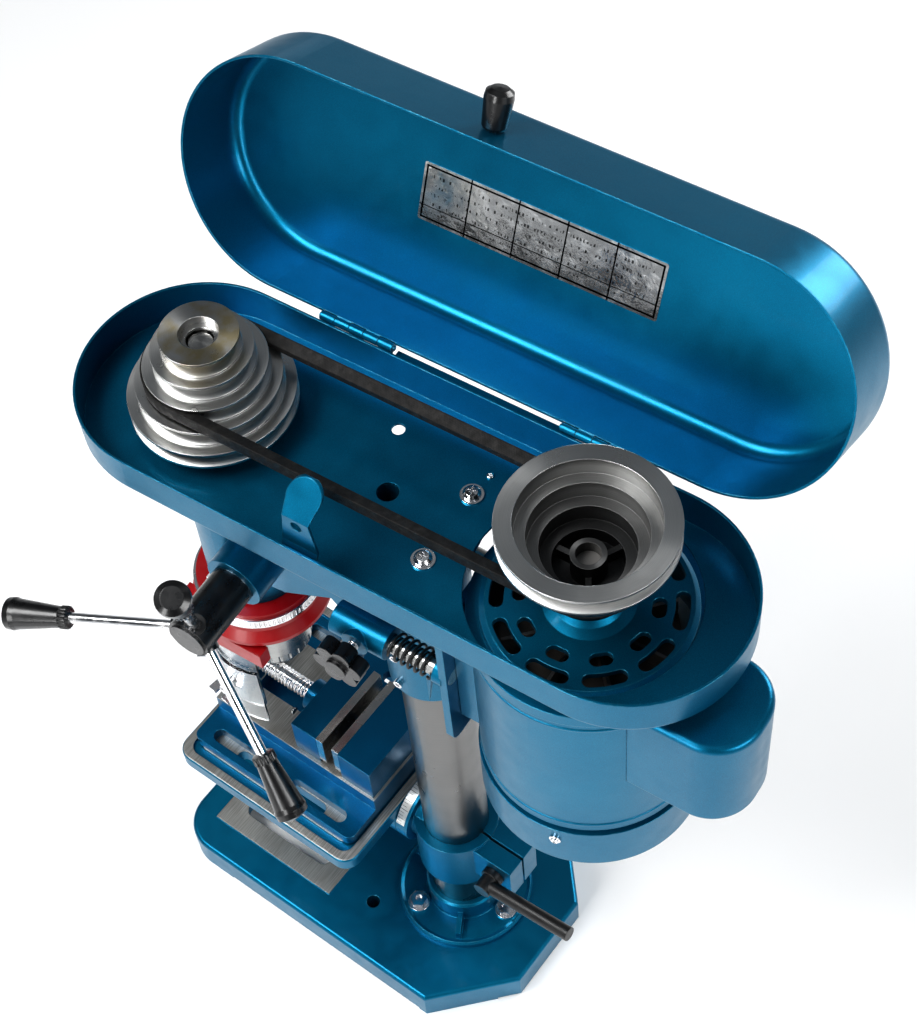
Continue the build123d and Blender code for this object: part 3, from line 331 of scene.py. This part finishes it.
def belt_wrap():
    """Rubber belt in a cloth wrap: two bias weaves cross, with pale dust in the weave and a painted
    highlight on its corners.
    """
    f = Finish("belt_wrap_cloth", Specular_IOR_Level=0.3)
    x, y, z = f.fields(f.place)
    along = f.math("ADD", y, z)
    across = f.math("SUBTRACT", y, z)
    weft = f.math("SINE", f.math("MULTIPLY", f.math("ADD", along, x), TURN / 0.0011))
    warp = f.math("SINE", f.math("MULTIPLY", f.math("SUBTRACT", across, x), TURN / 0.0011))
    weave = f.spread(f.math("ADD", weft, warp), -2.0, 2.0)
    dust = f.product(f.spread(f.noise(0.006, 5.0, None, 0.7), 0.48, 0.72), 0.5)
    soft, corner = f.round_corners(0.0006)
    shade = f.blend(weave, (0.002, 0.002, 0.0025), (0.010, 0.0095, 0.009))
    # Pale dust in the weave, and corners painted paler all along: a painted highlight on the belt's edges.
    shade = f.blend(f.math("MAXIMUM", dust, f.product(corner, 0.3)), shade, (0.04, 0.037, 0.033))
    f.feed("Base Color", shade)
    f.feed("Roughness", f.spread(f.noise(0.004, 3.0), 0.3, 0.7, 0.5, 0.75))
    f.feed("Normal", f.relief(weave, 0.00012, soft))
    return f.material


def clear_sheet():
    """Clear plastic with faint scratches and haze."""
    f = Finish("clear_guard_plastic", Transmission_Weight=1.0, IOR=1.49, Base_Color=(0.93, 0.96, 0.97, 1))
    scratches = f.noise(1.0, 5.0, f.stretched(0.0009, 0.0009, 0.009), 0.65)
    haze = f.spread(f.noise(0.014, 4.0), 0.4, 0.8, 0.03, 0.16)
    f.feed("Roughness", haze)
    f.feed("Normal", f.relief(scratches, 0.00002, None, 0.5))
    return f.material


def speed_foil(centre, along, across, length, width):
    """A wrinkled bright foil: printed frame and a plain grid of generic cells, with no words."""
    f = Finish("speed_plate_foil", Metallic=0.95)
    shift = f.node("VectorMath", {0: f.place, 1: tuple(centre)}, operation="SUBTRACT").outputs[0]
    u = f.node("VectorMath", {0: shift, 1: tuple(along)}, operation="DOT_PRODUCT").outputs["Value"]
    v = f.node("VectorMath", {0: shift, 1: tuple(across)}, operation="DOT_PRODUCT").outputs["Value"]
    from_middle_u, from_middle_v = f.math("ABSOLUTE", u), f.math("ABSOLUTE", v)

    def inside(edge_u, edge_v):
        """1 farther than two distances from the plate's ends and sides."""
        clear_u = f.math("LESS_THAN", from_middle_u, length / 2 - edge_u)
        return f.product(clear_u, f.math("LESS_THAN", from_middle_v, width / 2 - edge_v))

    def repeated(value, step, start):
        """How far through its step a value is, from 0 to 1."""
        return f.math("FRACT", f.math("ADD", f.math("DIVIDE", value, step), start))

    rim = f.math("SUBTRACT", inside(0.0016, 0.0016), inside(0.0028, 0.0028))
    cell = f.math("ABSOLUTE", f.math("SUBTRACT", repeated(u, length / 5, 10.5), 0.5))
    ends = f.math("LESS_THAN", from_middle_u, length / 2 - 0.005)
    bars = f.product(f.math("GREATER_THAN", cell, 0.485), ends)
    heading = f.within(v, -width / 2 + 0.0095, -width / 2 + 0.0101)
    dashes = f.math("LESS_THAN", repeated(u, 0.0022, 0.0), 0.55)
    rows = f.math("LESS_THAN", repeated(v, 0.0058, 20.3), 0.34)
    patches = f.joined(f.math("MULTIPLY", u, 420.0), f.math("MULTIPLY", v, 170.0), 0.0)
    gaps = f.math("GREATER_THAN", f.noise(1.0, 1.0, patches), 0.52)
    marks = f.product(dashes, rows, gaps, inside(0.007, 0.006), 0.85)
    ink = f.math("MAXIMUM", f.math("MAXIMUM", rim, bars), f.math("MAXIMUM", heading, marks))
    crumple = f.noise(0.009, 3.0, None, 0.5)
    f.feed("Base Color", f.blend(ink, (0.9, 0.9, 0.9), (0.006, 0.006, 0.007)))
    f.feed("Roughness", f.spread(crumple, 0.3, 0.7, 0.06, 0.2))
    f.feed("Normal", f.relief(crumple, 0.0004, None, 0.7))
    return f.material


def graduated(centre_x, centre_z, tick_degrees=5.0):
    """A bright scale whose dark lines are spaced evenly by angle about a level line along Y."""
    f = Finish("degree_scale_foil", Metallic=0.8, Roughness=0.3)
    x, y, z = f.fields(f.place)
    angle = f.math("ARCTAN2", f.math("SUBTRACT", x, centre_x), f.math("SUBTRACT", z, centre_z))
    part = f.math("FRACT", f.math("ADD", f.math("DIVIDE", angle, math.radians(tick_degrees)), 40.04))
    long_step = math.radians(tick_degrees * 3)
    long_part = f.math("FRACT", f.math("ADD", f.math("DIVIDE", angle, long_step), 40.013))
    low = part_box("table_bracket")[0][1]
    short = f.product(f.math("LESS_THAN", part, 0.11), f.math("LESS_THAN", y, low + 0.0045))
    long = f.product(f.math("LESS_THAN", long_part, 0.05), f.math("LESS_THAN", y, low + 0.0066))
    ink = f.math("MAXIMUM", short, long)
    f.feed("Base Color", f.blend(ink, (0.62, 0.63, 0.62), (0.02, 0.02, 0.02)))
    f.feed("Normal", f.relief(f.noise(0.0012, 3.0), 0.00003))
    return f.material


def laminated():
    """A stack of thin steel sheets with varnish between them."""
    f = Finish("steel_stack", Metallic=0.9, Roughness=0.45)
    z = f.fields(f.place)[2]
    sheets = f.math("FRACT", f.math("DIVIDE", z, 0.0007))
    f.feed("Base Color", f.blend(sheets, (0.12, 0.11, 0.10), (0.32, 0.31, 0.3)))
    f.feed("Normal", f.relief(sheets, 0.0001))
    return f.material


TEAL_DEEP, TEAL_LIGHT = (0.0002, 0.095, 0.185), (0.003, 0.25, 0.41)
ROYAL_DEEP, ROYAL_LIGHT = (0.0002, 0.075, 0.17), (0.002, 0.19, 0.36)
teal = enamel("teal_enamel", TEAL_DEEP, TEAL_LIGHT)
base_teal = enamel("base_teal_enamel", TEAL_DEEP, TEAL_LIGHT, bare_base)
table_teal = enamel("table_teal_enamel", TEAL_DEEP, TEAL_LIGHT, bare_table)
royal = enamel("vise_royal_enamel", ROYAL_DEEP, ROYAL_LIGHT, bare_vise)
spindle_alloy = machined(
    "spindle_pulley_turned", (0.60, 0.60, 0.59), 0.3, SPINDLE, 0.0004,
    (PULLEY_TOP - 14 * MM, PULLEY_TOP, (0.42, 0.34, 0.16)),
)
# The motor pulley's hollow is painted darker with depth: painted shade.
motor_alloy = machined(
    "motor_pulley_turned", (0.60, 0.60, 0.59), 0.3, MOTOR, 0.0004,
    cast_and_shaded_hollow=(39.2 * MM, PULLEY_TOP - 0.5 * MM),
)
column_steel = machined("column_ground_steel", (0.2, 0.198, 0.194), 0.3, COLUMN, 0.00045)
ground = machined("ground_steel", (0.48, 0.48, 0.47), 0.26)
chuck_steel = machined("chuck_turned_steel", (0.5, 0.5, 0.49), 0.24, SPINDLE, 0.0004)
bright = plated("bright_plating")
bearing_steel = plated("bearing_steel", (0.7, 0.7, 0.7), 0.18)
black_plastic = moulded("black_moulding", (0.004, 0.004, 0.0045), 0.3, coat=0.3)
black_steel = moulded("black_oxide_steel", (0.006, 0.006, 0.0065), 0.36, 0.0009, depth=0.00006)
red_plastic = moulded("red_moulding", (0.30, 0.0015, 0.004), 0.34, coat=0.15)
green_button = moulded("green_button_moulding", (0.01, 0.26, 0.05), 0.3, coat=0.3)
red_button = moulded("red_button_moulding", (0.5, 0.01, 0.012), 0.3, coat=0.3)
rubber = moulded("black_rubber", (0.014, 0.014, 0.014), 0.62)
belt_cloth = belt_wrap()
clear = clear_sheet()
stack = laminated()

FINISHES = {
    teal: (
        "column_flange", "head_casting", "belt_guard_pan", "pan_hinges", "latch_tab", "lid", "motor_shell",
        "motor_base_cap", "motor_end_bell", "capacitor_box", "motor_plate", "table_bracket",
    ),
    base_teal: ("base",),
    table_teal: ("table",),
    royal: ("vise_base", "moving_jaw"),
    spindle_alloy: ("spindle_pulley",),
    motor_alloy: ("motor_pulley",),
    column_steel: ("column",),
    ground: (
        "pulley_sleeve", "slide_rods", "feed_shaft", "return_spring", "fixed_jaw_plate", "moving_jaw_plate",
    ),
    chuck_steel: (
        "quill", "spindle", "chuck_body", "chuck_sleeve", "chuck_jaw_1", "chuck_jaw_2", "chuck_jaw_3",
    ),
    bright: (
        "flange_bolts", "head_fasteners", "feed_rods", "wing_nut_1", "wing_nut_2", "table_bolts",
        "vise_screw", "vise_handle",
    ),
    bearing_steel: ("sleeve_bearings", "quill_bearings", "motor_bearings"),
    black_plastic: ("spring_cap", "switch_box", "lid_knob", "slide_lock_knob", "feed_knobs", "feed_hub"),
    black_steel: ("tension_spring", "table_clamp_lever"),
    red_plastic: ("guard_collar", "guard_arm"),
    green_button: ("start_button",),
    red_button: ("stop_button",),
    belt_cloth: ("v_belt",),
    clear: ("guard_shield_upper", "guard_shield_lower"),
    stack: ("stator", "rotor"),
}


def dress_nodes():
    """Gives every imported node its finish."""
    for finish, names in FINISHES.items():
        for name in names:
            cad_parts[name].material_slots[0].material = finish


# --- meshes ---
def lofted(name, rings, finish, body, wrap=False, smooth=True):
    """A closed skin through rings of points: each ring is closed, and the ends are capped or joined.

    Point j of ring i joins point j of ring i + 1 in a four-sided face. With wrap the last ring
    joins the first, and without it each end is one flat face.
    """
    rings = np.asarray(rings, float)
    count, size = rings.shape[:2]
    spans = count if wrap else count - 1
    i, j = np.meshgrid(np.arange(spans), np.arange(size), indexing="ij")
    after_i, after_j = (i + 1) % count, (j + 1) % size
    faces = np.stack([i * size + j, i * size + after_j, after_i * size + after_j, after_i * size + j], -1)
    faces = [tuple(face) for face in faces.reshape(-1, 4).tolist()]
    if not wrap:
        faces.append(tuple(range(size))[::-1])
        faces.append(tuple(range((count - 1) * size, count * size)))
    mesh = bpy.data.meshes.new(name)
    mesh.from_pydata(rings.reshape(-1, 3).tolist(), [], faces)
    face_outwards(mesh)
    piece = bpy.data.objects.new(name, mesh)
    bpy.context.scene.collection.objects.link(piece)
    mesh.materials.append(finish)
    if smooth:
        mesh.shade_smooth()
        mesh.set_sharp_from_angle(angle=math.radians(32))
    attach(piece, body)
    return piece


def face_outwards(mesh):
    """Turns every face outwards."""
    shell = bmesh.new()
    shell.from_mesh(mesh)
    bmesh.ops.recalc_face_normals(shell, faces=shell.faces)
    shell.to_mesh(mesh)
    shell.free()


def turned_rings(outline, count=48):
    """An outline of (radius, height) points turned about +Z: x = r cos a, y = r sin a, z = h."""
    a = np.linspace(0, TURN, count, endpoint=False)
    r, h = np.asarray(outline, float).T
    return np.stack([r[:, None] * np.cos(a), r[:, None] * np.sin(a), h[:, None] + 0 * a], -1)


def aimed(points, at, axis):
    """Turns +Z towards axis and moves the origin to at."""
    turn = np.array(Vector((0, 0, 1)).rotation_difference(Vector(axis)).to_matrix())
    return points @ turn.T + np.asarray(at, float)


def guard_band():
    """The worm-drive band round the guard collar: a flat ribbon whose outside has slanted slots.

    The outer radius drops by a square wave of the angle, so the band reads as toothed.
    """
    a = np.linspace(0, TURN, 720, endpoint=False)
    notch = np.where(np.sin(a * 90) > 0.1, 0.35, 0.0)
    low, high, inner, outer = 357.2, 365.2, 40.3, 42.2
    section = [
        (inner + 0 * a, low + 0 * a), (outer + 0 * a, low + 0 * a), (outer + 0 * a, low + 1.4 + 0 * a),
        (outer - notch, low + 1.7 + 0 * a), (outer - notch, high - 1.7 + 0 * a),
        (outer + 0 * a, high - 1.4 + 0 * a), (outer + 0 * a, high + 0 * a), (inner + 0 * a, high + 0 * a),
    ]
    rings = np.stack([np.stack([r * np.cos(a), SPINDLE_Y + r * np.sin(a), z], -1) for r, z in section], 1)
    lofted("guard_band", on_head(rings), bright, "stand", wrap=True)
    reach, bearing = 42.5, 0.5
    at = np.array([-reach * math.cos(bearing), SPINDLE_Y - reach * math.sin(bearing), 361.2])
    axis = np.array([math.sin(bearing), -math.cos(bearing), 0])
    outline = [(2.6, -9), (3.0, -8.4), (3.0, 6), (2.0, 6.4), (2.0, 7), (3.8, 7.2), (3.8, 11.4), (3.0, 12)]
    screw = aimed(turned_rings(outline, 24), at, axis)
    lofted("guard_band_screw", on_head(screw), bright, "stand")


def quill_bumper():
    """A rubber ring on the quill's nose: a rounded outline turned about the spindle."""
    outline = [(13, 333.4), (20.4, 333.4), (21.6, 334.4), (21.6, 336.8), (20.8, 337.9), (13, 337.9)]
    rings = turned_rings(outline, 96) + np.array([0, SPINDLE_Y, 0])
    rings = np.swapaxes(rings, 0, 1)
    lofted("quill_bumper", on_head(rings), rubber, "quill", wrap=True)


def round_rectangle(length, width, radius, steps=8):
    """Points round a rectangle whose corners are quarter circles."""
    corners = []
    for quarter, (sx, sy) in enumerate(((1, 1), (-1, 1), (-1, -1), (1, -1))):
        a = math.pi / 2 * quarter + np.linspace(0, math.pi / 2, steps)
        corners.append(np.stack([
            sx * (length / 2 - radius) + radius * np.cos(a),
            sy * (width / 2 - radius) + radius * np.sin(a),
        ], -1))
    return np.concatenate(corners)


def on_lid(points):
    """Shut-lid points in head millimetres, turned about the hinge line to the open rest position."""
    points = np.asarray(points, float)
    c, s = math.cos(LID_OPENING), math.sin(LID_OPENING)
    x, z = points[..., 0] - HINGE_X, points[..., 2] - HINGE_Z
    turned = [c * x - s * z + HINGE_X, points[..., 1], s * x + c * z + HINGE_Z]
    return on_head(np.stack(turned, -1))


def speed_plate():
    """The foil on the lid's inner top: a thin round-cornered plate."""
    length, width, centre = 158.0, 37.0, np.array([0.0, -5.0, 606.3])
    outline = round_rectangle(width, length, 1.5)
    rings = []
    for z, inset in ((0.12, 0.0), (0.0, 0.0), (-0.1, 0.05)):
        ring = np.concatenate([outline * (1 - inset / 20), np.full((len(outline), 1), z)], 1)
        rings.append(on_lid(ring + centre))
    middle_point = on_lid(centre)
    along = Vector(on_lid(centre + [0, 1, 0]) - middle_point).normalized()
    across = Vector(on_lid(centre + [1, 0, 0]) - middle_point).normalized()
    finish = speed_foil(middle_point, along, across, length * MM, width * MM)
    lofted("speed_plate", rings, finish, "lid", smooth=False)


def tilt_scale():
    """The degree scale bent over the tilt disc: a thin strip that follows an arc above the disc."""
    a = np.linspace(math.radians(-72), math.radians(72), 97)
    section = ((28.05, -33.2), (28.4, -33.2), (28.4, -26.4), (28.05, -26.4))
    rings = np.stack([
        np.stack([r * np.sin(a), y + 0 * a, TILT_Z + r * np.cos(a)], -1) for r, y in section
    ], 1)
    finish = graduated(COLUMN.x, TILT_Z * MM)
    lofted("tilt_scale", on_stand(rings), finish, "table_bracket")


def lead_screw():
    """The vise's lead screw: a head, a thread and a plain end, as rings along its own line.

    On the thread the radius follows a triangle wave of (distance / pitch - angle / turn).
    """
    pitch, size = 3.0, 40
    a = np.linspace(0, TURN, size, endpoint=False)
    y = np.linspace(-202.5, -123, 460)
    wave = np.abs((y[:, None] / pitch - a / TURN) % 1.0 - 0.5) * 2
    thread = 5.9 + 1.05 * np.clip(wave * 1.6 - 0.3, 0, 1)
    head = [(6.5, -217), (8.6, -216.6), (9.0, -216), (9.0, -204), (8.5, -203.2), (6.4, -202.9)]
    tail = [(5.0, -122.9), (5.0, -113.4), (4.6, -113)]
    parts = [np.full((1, size), r) for r, _ in head] + [thread] + [np.full((1, size), r) for r, _ in tail]
    r = np.concatenate(parts)
    y = np.concatenate([[h for _, h in head], y, [h for _, h in tail]])[:, None]
    screw = np.stack([r * np.cos(a), y + 0 * a, VISE_SCREW_Z + r * np.sin(a)], -1)
    piece = lofted("lead_screw", on_stand(screw), bright, "vise_screw")
    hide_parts("vise_screw")


def knob_collars():
    """A fluted collar where each feed rod enters its knob: a ring whose radius is a wave of 20 cycles.

    Each rod leans out of the hub's plane, and the three are a third of a turn apart.
    """
    a = np.linspace(0, TURN, 240, endpoint=False)
    flutes = 0.35 * np.cos(20 * a)
    out, level = math.sin(FEED_ROD_LEAN), math.cos(FEED_ROD_LEAN)
    section = [(3.55, 86.6), (6.3, 86.9), (6.9, 87.6), (6.9, 92.4), (6.3, 93.0), (3.55, 93.2)]
    for index in range(3):
        turn = FEED_ROD_FIRST - math.pi / 2 - TURN / 3 * index
        line = np.array([out, -level * math.sin(turn), level * math.cos(turn)])
        rings = []
        for radius, height in section:
            r = radius + flutes * (radius > 6.5)
            rings.append(np.stack([r * np.cos(a), r * np.sin(a), height + 0 * a], -1))
        ring = on_head(aimed(np.stack(rings, 1), FEED_ROD_START, line))
        lofted(f"knob_collar_{index + 1}", ring, black_plastic, "feed", wrap=True)


def ribbed_thread(name, at, axis, radius, length, pitch, body, finish):
    """A short screw thread: the radius follows a triangle wave along the screw's own line."""
    h = np.linspace(0, length, int(length / pitch * 10))
    a = np.linspace(0, TURN, 24, endpoint=False)
    wave = np.abs((h[:, None] / pitch - a / TURN) % 1.0 - 0.5) * 2
    r = radius - 0.45 * wave
    rings = np.stack([r * np.cos(a), r * np.sin(a), h[:, None] + 0 * a], -1)
    lofted(name, on_head(aimed(rings, at, axis)), finish, body)


def domed_screw(name, at, axis, radius, body, place, washer=True):
    """A pan-head screw over a washer, with a cross recess pressed into its dome.

    The dome's height drops near two crossed lines: the drop is full where |x| or |y| is small.
    """
    base = 1.3 if washer else 0.0
    rho = np.linspace(radius, 0.02, 44)
    a = np.linspace(0, TURN, 120, endpoint=False)
    x, y = rho[:, None] * np.cos(a), rho[:, None] * np.sin(a)
    dome = base + 0.7 + radius * 0.38 * np.sqrt(np.clip(1 - (rho[:, None] / radius) ** 2, 0, 1)) + 0 * a
    cross = np.minimum(np.abs(x), np.abs(y)) < radius * 0.12
    cross &= (np.maximum(np.abs(x), np.abs(y)) < radius * 0.55)
    dome = dome - np.where(cross, radius * 0.32, 0.0)
    head = np.stack([x, y, dome], -1)
    foot = np.stack([radius * np.cos(a), radius * np.sin(a), np.full_like(a, base)], -1)[None]
    lofted(name, place(aimed(np.concatenate([foot, head]), at, axis)), bright, body)
    if washer:
        inner, outer = radius * 0.4, radius * 1.5
        outline = [(inner, 0), (outer, 0), (outer, 1.1), (radius * 1.3, 1.3), (inner, 1.3)]
        ring = np.swapaxes(turned_rings(outline, 48), 0, 1)
        lofted(name + "_washer", place(aimed(ring, at, axis)), bright, body, wrap=True)


def motor_beads():
    """Rolled beads round the motor: a small half-round section carried round the shell."""
    a = np.linspace(0, TURN, 160, endpoint=False)
    turn = np.linspace(0, TURN, 12, endpoint=False)
    shell, bulge, half_height = 66.2, 0.9, 1.5
    for index, z in enumerate((388.0, 501.0)):
        r = shell + bulge * np.cos(turn)
        h = z + half_height * np.sin(turn)
        rings = np.stack([
            r * np.cos(a[:, None]), MOTOR_Y + r * np.sin(a[:, None]), h + 0 * a[:, None],
        ], -1)
        lofted(f"motor_bead_{index + 1}", on_head(rings), teal, "motor", wrap=True)


def belt_spring():
    """The coil spring that pushes the motor away: a wire circle carried along a helix.

    On the drill it is drawn towards the head as the motor slides in; here it is a fixed coil on the stand.
    """
    radius, wire, pitch, length = 8.2, 0.9, 4.6, 27.6
    turns = length / pitch
    angle = np.linspace(0, TURN * turns, int(40 * turns))
    around = np.linspace(0, TURN, 12, endpoint=False)
    out = radius + wire * np.cos(around)
    x = RAIL_X + out * np.cos(angle[:, None])
    z = RAIL_Z + out * np.sin(angle[:, None])
    y = 4.4 + pitch * angle[:, None] / TURN + wire * np.sin(around)
    piece = lofted("belt_spring", on_head(np.stack([x, y, z], -1)), black_steel, "stand")
    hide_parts("tension_spring")
    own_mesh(piece)


def slot_shade_crescent():
    """A black crescent on the end bell that fills the pan's slot behind it: a dark piece standing for the
    shade in the slot.

    Its inner edge follows the bell, and its outer radius swells by the root of a half sine.
    """
    start, end = math.radians(176), math.radians(252)
    a = np.linspace(start, end, 72)
    inner = BELL_R + 0.1 + 0 * a
    outer = BELL_R + 0.3 + 10.6 * np.sqrt(np.clip(np.sin(np.pi * (a - start) / (end - start)), 0, 1))
    low, high = BELL_TOP + 0.2, BELL_TOP + 1.6
    section = [(inner, low), (outer, low), (outer, high), (inner, high)]
    rings = np.stack([
        np.stack([r * np.cos(a), MOTOR_Y + r * np.sin(a), z + 0 * a], -1) for r, z in section
    ], 1)
    # A black piece put where the pan's slot holds only shade: painted shade.
    lofted("slot_shade_crescent", on_head(rings), rubber, "motor", smooth=False)


def motor_screws():
    """Four screws round the bottom cap, a quarter turn apart."""
    reach, height, first = 67.9, 366, math.radians(12)
    for index in range(4):
        a = first + TURN / 4 * index
        at = (reach * math.cos(a), MOTOR_Y + reach * math.sin(a), height)
        domed_screw(f"motor_screw_{index + 1}", at, (math.cos(a), math.sin(a), 0), 2.4, "motor", on_head)


def small_fittings():
    """The lock knob's thread, a rivet in the pan and a screw in the moving jaw."""
    ribbed_thread("lock_thread", (50.2, -17, RAIL_Z), (1, 0, 0), 3.6, 7.6, 1.2, "slide_lock", bright)
    domed_screw("pan_rivet", (-40, 26, 530.5), (0, 0, 1), 2.2, "stand", on_head, washer=False)
    domed_screw("vise_plate_screw", (20, -123, 200), (0, -1, 0), 2.6, "moving_jaw", on_stand, washer=False)


# --- stage ---
def stage():
    """A wide pale floor."""
    bpy.ops.mesh.primitive_plane_add(size=12, location=(0, 0, 0))
    floor = bpy.context.object
    floor.name = "floor"
    f = Finish("floor_paper", Roughness=0.7)
    f.shader.inputs["Base Color"].default_value = (0.93, 0.93, 0.93, 1)
    floor.data.materials.append(f.material)


def lamp(name, place, target, width, height, power):
    """A soft rectangular lamp that faces a target."""
    data = bpy.data.lights.new(name, "AREA")
    data.shape = "RECTANGLE"
    data.size, data.size_y = width, height
    data.energy = power
    made = bpy.data.objects.new(name, data)
    made.location = place
    made.rotation_euler = (Vector(target) - Vector(place)).to_track_quat("-Z", "Y").to_euler()
    bpy.context.scene.collection.objects.link(made)


def light_studio():
    """A sky that is dark overhead and pale low down, and four soft lamps."""
    world = bpy.data.worlds.new("studio")
    bpy.context.scene.world = world
    world.use_nodes = True
    tree = world.node_tree
    sky = tree.nodes.new("ShaderNodeTexCoord")
    split = tree.nodes.new("ShaderNodeSeparateXYZ")
    shade = tree.nodes.new("ShaderNodeValToRGB")
    stops = shade.color_ramp.elements
    stops[0].position, stops[0].color = 0.0, (0.75, 0.78, 0.8, 1)
    stops[1].position, stops[1].color = 0.97, (0.30, 0.32, 0.34, 1)
    low = stops.new(0.22)
    low.color = (0.05, 0.055, 0.06, 1)
    high = stops.new(0.7)
    high.color = (0.07, 0.075, 0.08, 1)
    tree.links.new(sky.outputs["Generated"], split.inputs[0])
    tree.links.new(split.outputs[2], shade.inputs[0])
    tree.links.new(shade.outputs[0], tree.nodes["Background"].inputs[0])
    tree.nodes["Background"].inputs[1].default_value = 1.0
    aim = (0, 0, 0.4)
    lamp("soft_top", (0.9, -0.7, 2.2), aim, 1.2, 0.9, 40)
    lamp("soft_right", (1.8, 0.1, 1.1), aim, 0.5, 1.3, 17)
    lamp("soft_rear", (0.2, 1.9, 1.5), aim, 1.2, 0.6, 20)
    lamp("soft_left", (-1.7, 0.5, 1.2), aim, 0.6, 1.1, 18)
    bpy.context.scene.view_settings.view_transform = "Standard"
    bpy.context.scene.view_settings.look = "Medium High Contrast"


# The view: bearing, height and roll, then the target and distance in metres, the target's y being
# counted from the column, and the lens in millimetres for a picture 36 millimetres on its longer side.
AZIMUTH, ELEVATION, ROLL = math.radians(132.08), math.radians(55.47), math.radians(-6.278)
CAMERA_TARGET = np.array([-0.18682, -0.13488, 0.18858])
CAMERA_DISTANCE = 1.58495
FOCAL_MM = 74.141


def set_camera():
    """A camera that looks at the target from behind the operator's right, rolled a little."""
    data = bpy.data.cameras.new("view")
    data.lens, data.sensor_width, data.sensor_fit = FOCAL_MM, 36, "AUTO"
    camera = bpy.data.objects.new("view", data)
    bpy.context.scene.collection.objects.link(camera)
    level = math.cos(ELEVATION)
    back = Vector((math.sin(AZIMUTH) * level, -math.cos(AZIMUTH) * level, math.sin(ELEVATION)))
    side = Vector((0, 0, 1)).cross(back).normalized()
    up = back.cross(side)
    across = side * math.cos(ROLL) + up * math.sin(ROLL)
    upward = up * math.cos(ROLL) - side * math.sin(ROLL)
    place = Vector(CAMERA_TARGET) + Vector((0, COLUMN.y, 0)) + back * CAMERA_DISTANCE
    pose = Matrix((across, upward, back)).transposed().to_4x4()
    camera.matrix_world = Matrix.Translation(place) @ pose
    bpy.context.scene.camera = camera


set_camera()
dress_nodes()
guard_band()
quill_bumper()
speed_plate()
tilt_scale()
lead_screw()
knob_collars()
belt_spring()
motor_beads()
slot_shade_crescent()
motor_screws()
small_fittings()
stage()
light_studio()
